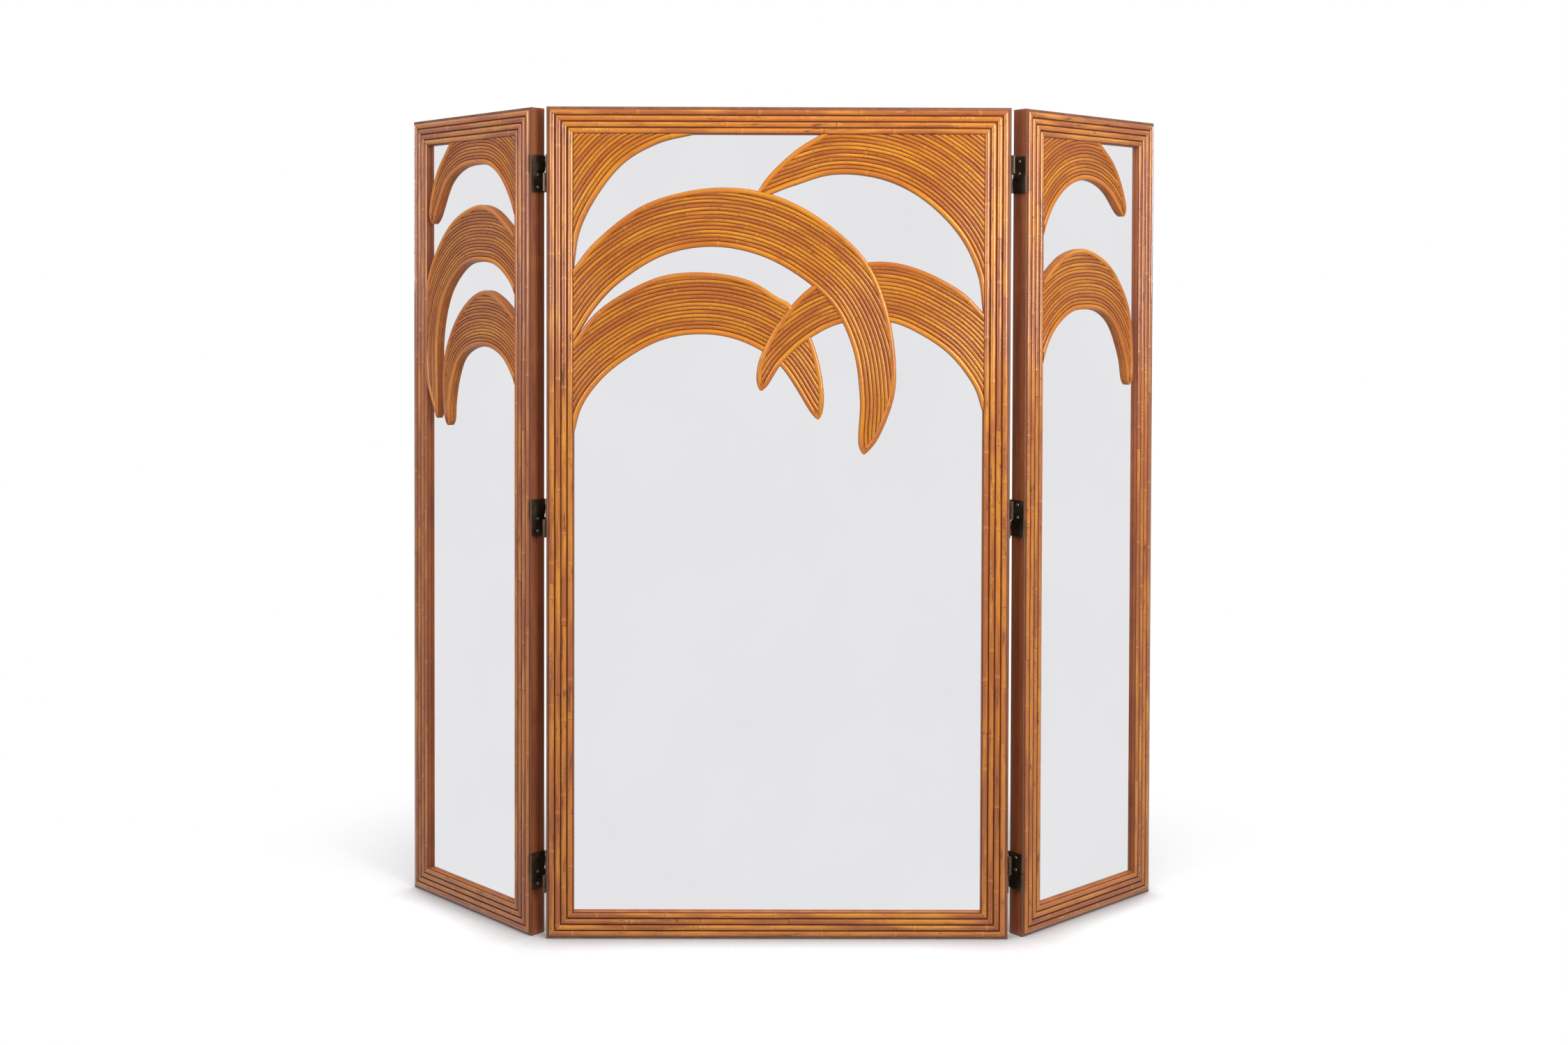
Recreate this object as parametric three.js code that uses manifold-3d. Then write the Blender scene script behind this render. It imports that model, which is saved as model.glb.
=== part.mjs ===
// Three-leaf folding screen: a wide centre panel and two wings, framed and faced with split
// cane, with a mirror pane in each panel behind a spray of arched palm fronds.
// Millimetres, +Z up. The fronts face -Y and the wings fold back towards +Y. The origin is the
// middle of the centre panel's foot, halfway through its depth.

import * as THREE from 'three';
import { mergeVertices } from 'three/addons/utils/BufferGeometryUtils.js';
import Module from 'manifold-3d';

const wasm = await Module();
wasm.setup();

// ---------------------------------------------------------------- driving dimensions

const panelHeight = 1800;
const centreWidth = 1000;
const wingWidth = 450;
const panelDepth = 35;            // wooden core, without the cane on its face

const leftFoldDegrees = 44.7;     // how far each wing stands folded back at rest
const rightFoldDegrees = 41;

const caneWidth = 13.25;          // one half-round cane of the frame facing
const caneHeight = 5;
const caneRows = 4;
const caneBed = 1.2;              // height of the grooves between the canes
const edgeMargin = 5;             // bare strip of core outside the cane

const lipThickness = 7;           // front lip that holds the mirror
const rebateWidth = 10;           // how far the mirror runs behind the lip
const mirrorThickness = 4;
const boardThickness = 6;
const paneClearance = 1;          // round the mirror and its back board in the rebate

const frondBoard = 7;             // plywood body of a frond
const frondCane = 3;              // canes laid on it, at their mean height
const borderHeight = 4.7;         // the stouter cane that binds a frond's edges
const borderWidth = 12;
const frondJoint = 0.4;           // between a frond and the one that it passes behind
const borderShoulder = 0.2;       // share of the border's width on each side of its flat crown

const hingeHeight = 80;
const hingeTopInset = 142;        // top of the panel to the middle of the top hinge
const hingeBottomInset = 141;     // foot of the panel to the middle of the bottom hinge
const hingeMiddleHeight = 912;
const hingeGap = 8.8;             // between the edges of two panels that stand in line
const pinStandoff = 3.3;          // pin axis beyond the faces of the core
const knuckleRadius = 3;
const pinRadius = 1.4;
const pinClearance = 0.4;
const leafThickness = 1.5;
const flapThickness = 1.5;
const plateClearance = 0.2;       // between a flap and the leaf that it lies against
const flapHeight = 31.5;
const flapInset = 1.5;            // from the end of the hinge to the edge of a flap
const halfGap = 2;                // between the upper and lower halves of a hinge
const knuckleGap = 0.4;           // between neighbouring knuckles on one pin

const touch = 0.3;                // gap between pieces that bear on each other

// Fronds, each drawn as one line: its inner edge from the lower root on the stile to the tip, and
// its outer edge from there back to the root. A point is [in from the root stile, down from the
// top rail], in hundredths of the opening's width and of the drop given here. A frond with no
// outer edge has no tip and fills a corner. One that is listed sooner lies over those after it.
const centreFrondDrop = 690;      // below the top rail, to the lowest tip of all
const leftWingFrondDrop = 645;
const rightWingFrondDrop = 549;

const centreFronds = {
  main: {
    side: 'left',
    inner: [
      [0, 64.9], [4.6, 55.4], [10.4, 47.2], [21.6, 38], [33.1, 35.1], [44, 37.2],
      [53.5, 43], [62.9, 53.2], [68.1, 66.8], [69.9, 82.6], [69.7, 97.4], [70.8, 99.9],
    ],
    outer: [
      [72.2, 98.6], [74.5, 94.6], [78.2, 81.9], [78.6, 71], [76.5, 54.2], [71.5, 39.6],
      [61.1, 27.1], [49.8, 19.4], [38.5, 16.7], [27.1, 18], [16, 22.9], [4.6, 34.5],
      [0, 42],
    ],
  },
  top_right: {
    side: 'right',
    inner: [
      [0.2, 54.2], [1.2, 44.6], [4.6, 34.2], [10.3, 25.1], [18.3, 17.4], [27, 13.3],
      [37.3, 12.6], [46.6, 16.1], [55.4, 19.7],
    ],
    outer: [
      [53.7, 14.8], [46.2, 5.2], [39.8, 0],
    ],
  },
  top_left: {
    side: 'left',
    inner: [
      [0.1, 40.7], [1.5, 30.3], [5.5, 19.7], [12.2, 9.1], [20.6, 2.9], [29.6, 0],
    ],
    outer: [],
  },
  low_right: {
    side: 'right',
    inner: [
      [0.3, 85.7], [2.1, 79], [7.9, 69.1], [15.6, 62.2], [22.6, 58.6], [34.2, 58.8],
      [41.9, 63.3], [49.2, 71.6], [52.9, 78.8], [54.3, 80.1],
    ],
    outer: [
      [55.3, 77.4], [55, 71.6], [52.3, 63.3], [49.5, 57.7], [44.1, 49.6], [35.1, 42],
      [25.1, 39.6], [15.7, 42], [4.6, 49.6], [0, 55.7],
    ],
  },
  low_left: {
    side: 'left',
    inner: [
      [0.2, 92.9], [1.8, 85.8], [4.8, 79.6], [10.4, 72.5], [21.6, 64.3], [32.8, 62.5],
      [42.1, 65.2], [50.1, 71.9], [58.4, 87.7], [59.7, 89],
    ],
    outer: [
      [60.7, 87], [61, 79], [58.1, 63.9], [52.6, 52.8], [49.9, 50.9], [43, 45.7],
      [32.8, 43.2], [21.6, 44.3], [10.5, 51], [4.8, 56.7], [0, 64.6],
    ],
  },
};

const leftWingFronds = {
  high: {
    inner: [
      [-1.5, 28.8], [6, 20.6], [16.5, 13.3], [28.4, 9.3], [44.9, 8.4], [61.4, 9.5],
      [76.3, 14.1], [91.9, 27.3], [95.2, 28.2],
    ],
    outer: [
      [97.9, 25.4], [94.9, 17.2], [88.3, 9.5], [73.4, 0],
    ],
  },
  middle: {
    inner: [
      [-1.5, 55.2], [6, 49.3], [21, 43.7], [34.4, 42.3], [53.9, 43.1], [68.9, 48.1],
      [79.3, 54.9], [87.1, 68.2], [87.7, 96.1], [89.5, 97.7],
    ],
    outer: [
      [93.4, 93.6], [100, 86.2], [103.3, 66.7], [100, 48.2], [88.3, 37.1], [73.4, 29],
      [58.4, 24.7], [38.9, 22.5], [24, 24.2], [9, 29.3], [-1.5, 33.8],
    ],
  },
  low: {
    inner: [
      [-1.5, 86.2], [3, 81.6], [13.5, 75.3], [28.4, 71.9], [47.9, 72.4], [61.4, 76.3],
      [68.9, 83.6], [72.8, 92.1], [74, 98.8], [76.3, 100],
    ],
    outer: [
      [78.7, 98.8], [81.7, 89.8], [81.1, 78.1], [71.9, 66.5], [58.4, 58.1], [43.4, 53.3],
      [29.9, 52.2], [16.5, 54.9], [-1.5, 61.6],
    ],
  },
};

const rightWingFronds = {
  high: {
    inner: [
      [-2.4, 45.9], [0, 39.3], [10.2, 27], [25.1, 18.8], [41, 15.7], [55.4, 16.6],
      [67.4, 20.2], [82, 29], [85, 29.5],
    ],
    outer: [
      [86.8, 26.8], [82, 17.1], [72.5, 7.7], [58.1, 0],
    ],
  },
  low: {
    inner: [
      [-2.4, 98.7], [0, 90.3], [10.2, 78], [28.1, 69.8], [43.1, 68.3], [59.9, 69.4],
      [73.1, 74.7], [85, 88.5], [88.9, 98.7], [91.6, 100],
    ],
    outer: [
      [94.6, 97.8], [94.9, 84.5], [89.8, 66.7], [73.1, 52.1], [58.4, 46.4], [40.1, 43.7],
      [22.2, 46.3], [9, 51.7], [-2.4, 58.3],
    ],
  },
};

const outlineStep = 26;           // length of one straight facet along a frond's edge
const caneFacets = 6;             // facets across one half-round cane
const knuckleSides = 10;
const pinSides = 8;
const cutMargin = 1;              // how far a cutter reaches past what it cuts
const weldDistance = 1e-4;        // corners closer than this are one corner
const sliverShare = 0.02;         // a cut-off piece smaller than this share is dropped

// ---------------------------------------------------------------- derived sizes

const frameFace = edgeMargin + caneRows * caneWidth;
const frontOfCore = -panelDepth / 2;
const backOfCore = panelDepth / 2;
const paneFace = frontOfCore + lipThickness + touch;
const boardFace = paneFace + mirrorThickness + touch;
const pinReach = panelDepth / 2 + pinStandoff;
const hingeCentres = {
  top: panelHeight - hingeTopInset,
  middle: hingeMiddleHeight,
  bottom: hingeBottomInset,
};

// ---------------------------------------------------------------- materials

const finish = (color, roughness, metalness) =>
  new THREE.MeshStandardMaterial({ color, roughness, metalness, flatShading: true });

const stainedWood = finish(0x7a3f1f, 0.5, 0);
const cane = finish(0xbd7636, 0.35, 0);
const frondCaneFinish = finish(0xc98a3c, 0.35, 0);
const mirrorGlass = finish(0xe4e4e6, 0.04, 1);
const plywood = finish(0x8d5c34, 0.65, 0);
const darkBronze = finish(0x2e2823, 0.45, 0.8);

// ---------------------------------------------------------------- solids and meshes

// A closed geometry as a solid that can be joined and cut.
function solidFrom(geometry) {
  const bare = geometry.clone();
  bare.deleteAttribute('normal');
  bare.deleteAttribute('uv');
  const merged = mergeVertices(bare, weldDistance);
  return new wasm.Manifold(new wasm.Mesh({
    numProp: 3,
    vertProperties: merged.attributes.position.array,
    triVerts: Uint32Array.from(merged.index.array),
  }));
}

function geometryFrom(solid) {
  const mesh = solid.getMesh();
  const geometry = new THREE.BufferGeometry();
  geometry.setAttribute('position', new THREE.Float32BufferAttribute(mesh.vertProperties, 3));
  geometry.setIndex([...mesh.triVerts]);
  return geometry;
}

function named(name, geometry, material) {
  const mesh = new THREE.Mesh(geometry, material);
  mesh.name = name;
  return mesh;
}

// Points and triangles as a geometry whose faces point outwards.
function closedGeometry(points, triangles) {
  const volume = triangles.reduce((sum, [a, b, c]) => {
    const cross = new THREE.Vector3().crossVectors(points[b], points[c]);
    return sum + points[a].dot(cross);
  }, 0);
  const outward = volume > 0 ? triangles : triangles.map(([a, b, c]) => [a, c, b]);
  const geometry = new THREE.BufferGeometry().setFromPoints(points);
  geometry.setIndex(outward.flat());
  return geometry;
}

// A section carried through a row of stations. pointAt(station, sectionPoint) gives a vertex.
// A ring joins its last station to its first; otherwise both ends are capped.
function sweep(section, stations, pointAt, isRing) {
  const points = stations.flatMap((station) => section.map((spot) => pointAt(station, spot)));
  const count = section.length;
  const triangles = [];
  const spans = isRing ? stations.length : stations.length - 1;
  for (let row = 0; row < spans; row += 1) {
    const here = row * count;
    const next = ((row + 1) % stations.length) * count;
    for (let k = 0; k < count; k += 1) {
      const k2 = (k + 1) % count;
      triangles.push([here + k, next + k, next + k2], [here + k, next + k2, here + k2]);
    }
  }
  if (!isRing) {
    const flat = section.map(([across, depth]) => new THREE.Vector2(across, depth));
    const faces = THREE.ShapeUtils.triangulateShape(flat, []);
    const last = (stations.length - 1) * count;
    const clockwise = THREE.ShapeUtils.isClockWise(flat);
    faces.forEach(([a, b, c]) => {
      const [p, q] = clockwise ? [c, b] : [b, c];
      triangles.push([a, p, q], [last + a, last + q, last + p]);
    });
  }
  return closedGeometry(points, triangles);
}

// A flat outline in the panel's plane, given thickness from backY forward to frontY.
function plate(outline, backY, frontY) {
  const shape = new THREE.Shape(outline.map(([x, z]) => new THREE.Vector2(x, z)));
  const geometry = new THREE.ExtrudeGeometry(shape, {
    depth: backY - frontY,
    bevelEnabled: false,
  });
  geometry.rotateX(Math.PI / 2);
  geometry.translate(0, backY, 0);
  return geometry;
}

function slab(x0, x1, y0, y1, z0, z1) {
  const geometry = new THREE.BoxGeometry(x1 - x0, y1 - y0, z1 - z0);
  geometry.translate((x0 + x1) / 2, (y0 + y1) / 2, (z0 + z1) / 2);
  return geometry;
}

function uprightCylinder(radius, sides, x, y, z0, z1) {
  const geometry = new THREE.CylinderGeometry(radius, radius, z1 - z0, sides);
  geometry.rotateX(Math.PI / 2);
  geometry.translate(x, y, (z0 + z1) / 2);
  return geometry;
}

// ---------------------------------------------------------------- a panel's frame

// One mitred member of the wooden core, with the rebate behind its front lip. It runs along one
// side of the panel, and pointOf(along, across) says which side that is.
function coreMember(sideLength, pointOf) {
  const rebateStart = frameFace - rebateWidth;
  const lipBack = frontOfCore + lipThickness;
  const section = [
    [0, frontOfCore], [frameFace, frontOfCore], [frameFace, lipBack],
    [rebateStart, lipBack], [rebateStart, backOfCore], [0, backOfCore],
  ];
  const mitreEnd = (end, across) => end * (sideLength / 2 - across - touch / 2);
  const pointAt = (end, [across, depth]) => {
    const [x, z] = pointOf(mitreEnd(end, across), across);
    return new THREE.Vector3(x, depth, z);
  };
  return sweep(section, [-1, 1], pointAt, false);
}

function coreMembers(width) {
  const half = width / 2;
  const middle = panelHeight / 2;
  return {
    left_stile: coreMember(panelHeight, (along, across) => [across - half, middle + along]),
    right_stile: coreMember(panelHeight, (along, across) => [half - across, middle + along]),
    top_rail: coreMember(width, (along, across) => [along, panelHeight - across]),
    bottom_rail: coreMember(width, (along, across) => [along, across]),
  };
}

// The rows of half-round cane on the face of the frame, mitred at the four corners.
function caneFacing(width) {
  const bedFace = frontOfCore - caneBed;
  const rise = caneHeight - caneBed;
  const section = [[edgeMargin, frontOfCore - touch], [edgeMargin, bedFace]];
  for (let row = 0; row < caneRows; row += 1) {
    const middle = edgeMargin + (row + 0.5) * caneWidth;
    for (let k = 1; k <= caneFacets; k += 1) {
      const turn = Math.PI * (1 - k / caneFacets);
      section.push([
        middle + Math.cos(turn) * caneWidth / 2,
        bedFace - Math.sin(turn) * rise,
      ]);
    }
  }
  section.push([frameFace, frontOfCore - touch]);
  const corners = [[-1, 0], [1, 0], [1, 1], [-1, 1]];
  const pointAt = ([sideways, up], [across, depth]) => new THREE.Vector3(
    sideways * (width / 2 - across),
    depth,
    up === 1 ? panelHeight - across : across,
  );
  return sweep(section, corners, pointAt, true);
}

// A sheet that lies in the rebate, its front at faceY.
function rebatedSheet(width, faceY, thickness) {
  const margin = frameFace - rebateWidth + paneClearance;
  return slab(
    margin - width / 2, width / 2 - margin,
    faceY, faceY + thickness,
    margin, panelHeight - margin,
  );
}

// ---------------------------------------------------------------- fronds

const frondBack = paneFace - touch;
const frondFace = frondBack - frondBoard - frondCane;
const borderFace = frondBack - frondBoard - borderHeight;
const cutFront = borderFace - cutMargin;

// The frond's drawn line as panel coordinates [x, z]. A frond on the right is its mirror image.
function frondLine(frond, width, drop, side) {
  const sideways = side === 'left' ? 1 : -1;
  const rootX = -sideways * (width / 2 - frameFace);
  const topZ = panelHeight - frameFace;
  const openingWidth = width - 2 * frameFace;
  return [...frond.inner, ...frond.outer].map(([inward, down]) => [
    rootX + sideways * openingWidth * inward / 100,
    topZ - drop * down / 100,
  ]);
}

function smoothLine(points) {
  const curve = new THREE.CatmullRomCurve3(
    points.map(([x, z]) => new THREE.Vector3(x, 0, z)), false, 'centripetal',
  );
  const steps = Math.round(curve.getLength() / outlineStep);
  return curve.getSpacedPoints(steps).map(({ x, z }) => [x, z]);
}

// A strip along a line in the panel's plane. A section point is [inset, depth], and an inset is
// measured to the side of the line that 'inward' names, 1 for its left and -1 for its right.
function stripAlong(line, section, inward) {
  const stations = line.map(([x, z], k) => {
    const [x0, z0] = line[Math.max(k - 1, 0)];
    const [x1, z1] = line[Math.min(k + 1, line.length - 1)];
    const along = new THREE.Vector2(x1 - x0, z1 - z0).normalize();
    return { x, z, nx: -along.y * inward, nz: along.x * inward };
  });
  const pointAt = ({ x, z, nx, nz }, [inset, depth]) =>
    new THREE.Vector3(x + nx * inset, depth, z + nz * inset);
  return sweep(section, stations, pointAt, false);
}

// Everything that one frond needs: its outline, and the side of its line that it lies on.
function drawFrond(frond, width, drop, side) {
  const drawn = frondLine(frond, width, drop, side);
  const line = smoothLine(drawn);
  const sideways = side === 'left' ? 1 : -1;
  const tuckedX = drawn[0][0] - sideways * frameFace / 2;
  const tuckedZ = panelHeight - frameFace / 2;
  const [endX, endZ] = drawn[drawn.length - 1];
  const endsOnRail = endZ === panelHeight - frameFace;
  const closing = endsOnRail
    ? [[endX, tuckedZ], [tuckedX, tuckedZ], [tuckedX, line[0][1]]]
    : [[tuckedX, line[line.length - 1][1]], [tuckedX, line[0][1]]];
  const outline = [...line, ...closing];
  const inward = THREE.ShapeUtils.area(outline.map(([x, z]) => ({ x, y: z }))) > 0 ? 1 : -1;
  const tipSpot = frond.outer.length === 0 ? null : drawn[frond.inner.length - 1];
  return { line, outline, inward, tipSpot };
}

// The bound edges of a frond: its line, cut in two at the tip.
function boundEdges({ line, tipSpot }) {
  if (tipSpot === null) return [line];
  const fromTip = line.map(([x, z]) => Math.hypot(x - tipSpot[0], z - tipSpot[1]));
  const tip = fromTip.indexOf(Math.min(...fromTip));
  return [line.slice(0, tip), line.slice(tip + 1)];
}

// What a frond takes out of those behind it: its own outline and a narrow joint round it.
function frondCutter(drawn) {
  const jointBand = [
    [-frondJoint, backOfCore], [cutMargin, backOfCore],
    [cutMargin, cutFront], [-frondJoint, cutFront],
  ];
  return solidFrom(plate(drawn.outline, backOfCore, cutFront))
    .add(solidFrom(stripAlong(drawn.line, jointBand, drawn.inward)));
}

function frondSolid(drawn, width, cutters) {
  const shoulder = (frondFace + borderFace) / 2;
  const [nearShoulder, farShoulder] = [borderShoulder, 1 - borderShoulder];
  const border = [
    [-cutMargin, frondBack], [borderWidth, frondBack], [borderWidth, frondFace],
    [borderWidth * farShoulder, shoulder], [borderWidth / 2, borderFace],
    [borderWidth * nearShoulder, shoulder], [-cutMargin, frondFace],
  ];
  const body = solidFrom(plate(drawn.outline, frondBack, frondFace));
  const fullOutline = solidFrom(plate(drawn.outline, frondBack, cutFront));
  const borders = boundEdges(drawn)
    .map((edge) => solidFrom(stripAlong(edge, border, drawn.inward)).intersect(fullOutline));
  const opening = solidFrom(slab(
    frameFace + touch - width / 2, width / 2 - frameFace - touch,
    cutFront, backOfCore,
    frameFace + touch, panelHeight - frameFace - touch,
  ));
  const whole = borders.reduce((solid, part) => solid.add(part), body).intersect(opening);
  return cutters.reduce((solid, cutter) => solid.subtract(cutter), whole);
}

// The pieces that a cut frond falls into, the largest first, without slivers.
function mainPieces(solid) {
  const pieces = solid.decompose().sort((a, b) => b.volume() - a.volume());
  return pieces.filter((piece) => piece.volume() > pieces[0].volume() * sliverShare);
}

// ---------------------------------------------------------------- panels

function panel(prefix, width, stileNames) {
  const group = new THREE.Group();
  Object.entries(coreMembers(width)).forEach(([part, geometry]) => {
    group.add(named(`${prefix}_${stileNames[part] ?? part}`, geometry, stainedWood));
  });
  group.add(named(`${prefix}_cane_facing`, caneFacing(width), cane));
  group.add(named(`${prefix}_mirror`, rebatedSheet(width, paneFace, mirrorThickness), mirrorGlass));
  group.add(named(`${prefix}_back_board`, rebatedSheet(width, boardFace, boardThickness), plywood));
  return group;
}

function addFrond(group, name, solid) {
  mainPieces(solid).forEach((piece, k) => {
    group.add(named(k === 0 ? name : `${name}_tip`, geometryFrom(piece), frondCaneFinish));
  });
}

// The centre's fronds cross: each one is cut where it passes behind those drawn before it.
function centrePanel() {
  const group = panel('centre', centreWidth, {});
  const cutters = [];
  Object.entries(centreFronds).forEach(([name, frond]) => {
    const drawn = drawFrond(frond, centreWidth, centreFrondDrop, frond.side);
    addFrond(group, `centre_frond_${name}`, frondSolid(drawn, centreWidth, cutters));
    cutters.push(frondCutter(drawn));
  });
  return group;
}

function wingPanel(prefix, fronds, drop, hingeSide) {
  const outerSide = hingeSide === 'left' ? 'right' : 'left';
  const group = panel(prefix, wingWidth, {
    [`${hingeSide}_stile`]: 'hinge_stile',
    [`${outerSide}_stile`]: 'outer_stile',
  });
  Object.entries(fronds).forEach(([name, frond]) => {
    const drawn = drawFrond(frond, wingWidth, drop, hingeSide);
    addFrond(group, `${prefix}_frond_${name}`, frondSolid(drawn, wingWidth, []));
  });
  return group;
}

// ---------------------------------------------------------------- double-acting hinges

// A hinge is drawn with both panels in line, the centre panel on its -X side: x = 0 is the
// middle of the gap and z = 0 the hinge's mid-height. Each leaf has knuckles on its front edge
// in one half of the height and on its back edge in the other. The upper flap joins the centre
// leaf's front pin to the wing leaf's back pin, and the lower flap the other two.

const halfStart = halfGap / 2;
const halfEnd = hingeHeight / 2;
const knuckleLength = (halfEnd - halfStart - 2 * knuckleGap) / 3;
const knuckleSpan = (row) => {
  const start = halfStart + row * (knuckleLength + knuckleGap);
  return [start, start + knuckleLength];
};
const leafX = touch - hingeGap / 2;
const flapX = leafX + leafThickness + plateClearance;

function join(geometries) {
  return geometries.map(solidFrom).reduce((whole, part) => whole.add(part));
}

// A knuckle and the tongue that ties it to its plate, whose front or back edge is at edgeY.
function knuckleParts(plateX, thickness, facing, z0, z1) {
  const edgeY = facing * (panelDepth / 2 - knuckleRadius);
  const pinY = facing * pinReach;
  return [
    uprightCylinder(knuckleRadius, knuckleSides, 0, pinY, z0, z1),
    slab(plateX, plateX + thickness, Math.min(edgeY, pinY), Math.max(edgeY, pinY), z0, z1),
  ];
}

// The leaf on the centre panel. Turned half round about Z it is the leaf on the wing.
function hingeLeaf() {
  const plateParts = [slab(
    leafX, leafX + leafThickness, -panelDepth / 2, panelDepth / 2, -halfEnd, halfEnd,
  )];
  const bores = [];
  [0, 2].forEach((row) => {
    const [z0, z1] = knuckleSpan(row);
    plateParts.push(...knuckleParts(leafX, leafThickness, -1, z0, z1));
    plateParts.push(...knuckleParts(leafX, leafThickness, 1, -z1, -z0));
  });
  [-1, 1].forEach((facing) => {
    bores.push(uprightCylinder(
      pinRadius + pinClearance, pinSides, 0, facing * pinReach, -halfEnd - cutMargin, halfEnd + cutMargin,
    ));
  });
  return geometryFrom(join(plateParts).subtract(join(bores)));
}

// The upper flap, which lies against the centre leaf, with the two pins staked in its knuckles.
// Turned half round about Y it is the lower flap, which lies against the wing leaf.
function hingeFlap() {
  const [z0, z1] = knuckleSpan(1);
  const top = halfEnd - flapInset;
  const parts = [slab(
    flapX, flapX + flapThickness, -panelDepth / 2, panelDepth / 2, top - flapHeight, top,
  )];
  [-1, 1].forEach((facing) => {
    parts.push(...knuckleParts(flapX, flapThickness, facing, z0, z1));
    parts.push(uprightCylinder(
      pinRadius, pinSides, 0, facing * pinReach, halfStart + touch, halfEnd - touch,
    ));
  });
  return geometryFrom(join(parts));
}

// The hinge pieces that one panel carries. On the left of the screen the hinge is upside down.
function hingeHalf(side, place, height, carrier) {
  const group = new THREE.Group();
  const onWing = carrier === 'wing';
  const leaf = named(`${side}_${place}_hinge_${carrier}_leaf`, hingeLeaf(), darkBronze);
  const flap = named(`${side}_${place}_hinge_${carrier}_flap`, hingeFlap(), darkBronze);
  leaf.rotation.z = onWing ? Math.PI : 0;
  flap.rotation.y = onWing ? Math.PI : 0;
  group.add(leaf, flap);
  group.rotation.y = side === 'left' ? Math.PI : 0;
  group.position.z = height;
  return group;
}

// ---------------------------------------------------------------- the screen

// A wing hangs on its back pins and turns about them. Its parts are placed from that axis.
function wing(side) {
  const sideways = side === 'left' ? -1 : 1;
  const swing = new THREE.Group();
  swing.position.set(sideways * (centreWidth + hingeGap) / 2, pinReach, 0);
  const foldDegrees = side === 'left' ? leftFoldDegrees : rightFoldDegrees;
  swing.rotation.z = sideways * THREE.MathUtils.degToRad(foldDegrees);

  const [fronds, drop] = side === 'left'
    ? [leftWingFronds, leftWingFrondDrop]
    : [rightWingFronds, rightWingFrondDrop];
  const board = wingPanel(`${side}_wing`, fronds, drop, side === 'left' ? 'right' : 'left');
  board.position.set(sideways * (hingeGap + wingWidth) / 2, -pinReach, 0);
  swing.add(board);

  Object.entries(hingeCentres).forEach(([place, height]) => {
    const half = hingeHalf(side, place, height, 'wing');
    half.position.y = -pinReach;
    swing.add(half);
  });
  return swing;
}

function centre() {
  const group = centrePanel();
  [['left', -1], ['right', 1]].forEach(([side, sideways]) => {
    Object.entries(hingeCentres).forEach(([place, height]) => {
      const half = hingeHalf(side, place, height, 'centre');
      half.position.x = sideways * (centreWidth + hingeGap) / 2;
      group.add(half);
    });
  });
  return group;
}

const screen = new THREE.Group();
screen.add(centre(), wing('left'), wing('right'));

export default screen;
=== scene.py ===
"""Looks of a three-leaf folding screen faced with split cane, with mirrors behind cane fronds.

Every length inside a panel is in millimetres, in the panel's own plane: x across it, z up from
its foot, and a height forward of the face of its wooden core. A finished piece is placed in the
row frame in metres.
"""

import math
import random

import bmesh
import bpy
import numpy as np
from mathutils import Matrix, Vector


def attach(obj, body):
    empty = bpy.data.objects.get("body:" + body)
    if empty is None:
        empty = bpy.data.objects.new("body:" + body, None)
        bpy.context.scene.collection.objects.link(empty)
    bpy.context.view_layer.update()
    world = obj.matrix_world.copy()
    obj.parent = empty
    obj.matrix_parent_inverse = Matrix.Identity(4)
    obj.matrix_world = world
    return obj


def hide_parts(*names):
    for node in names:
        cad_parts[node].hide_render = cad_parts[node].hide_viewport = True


bl_info = {
    "name": "Split Cane Folding Screen",
    "version": (1, 0, 0),
    "blender": (4, 5, 0),
    "location": "View3D > Sidebar > Cane Screen",
    "description": "Builds the cane, fronds, fittings and stage of a three-leaf mirror screen",
    "category": "Object",
}

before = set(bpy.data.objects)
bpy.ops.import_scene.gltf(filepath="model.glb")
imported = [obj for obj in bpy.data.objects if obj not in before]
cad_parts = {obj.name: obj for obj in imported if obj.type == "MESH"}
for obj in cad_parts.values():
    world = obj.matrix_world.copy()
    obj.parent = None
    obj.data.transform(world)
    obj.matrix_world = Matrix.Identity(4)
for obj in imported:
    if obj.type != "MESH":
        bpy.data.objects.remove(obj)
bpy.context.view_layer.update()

MM = 0.001

# ------------------------------------------------------------------ the screen's own dimensions

PANEL_HEIGHT = 1800
PANEL_WIDTHS = {"centre": 1000, "left_wing": 450, "right_wing": 450}
PANEL_DEPTH = 35           # thickness of the wooden core
FRAME_FACE = 58            # width of a stile or rail
OPENING_TOP = PANEL_HEIGHT - FRAME_FACE
EDGE_MARGIN = 5            # bare strip of core outside the cane
CANE_ROWS = 4
CANE_PITCH = 13.25
HINGE_GAP = 8.8            # between two panels that stand in line
PIN_REACH = 20.8           # back pins of the hinges, behind the middle of the core
FOLD_DEGREES = {"left_wing": 44.7, "right_wing": 41.0}
HINGE_HEIGHTS = {"top": 1658, "middle": 912, "bottom": 141}
FROND_BOARD = 7.0          # thickness of a frond's board
FROND_BACK = -FROND_BOARD  # back of a frond, from the front of the core
LEAF_FACE = 2.6            # face of a hinge leaf, from the middle of the gap
SCREW_HEIGHTS = (29.3, 2.4)   # from the middle of a hinge

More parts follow.
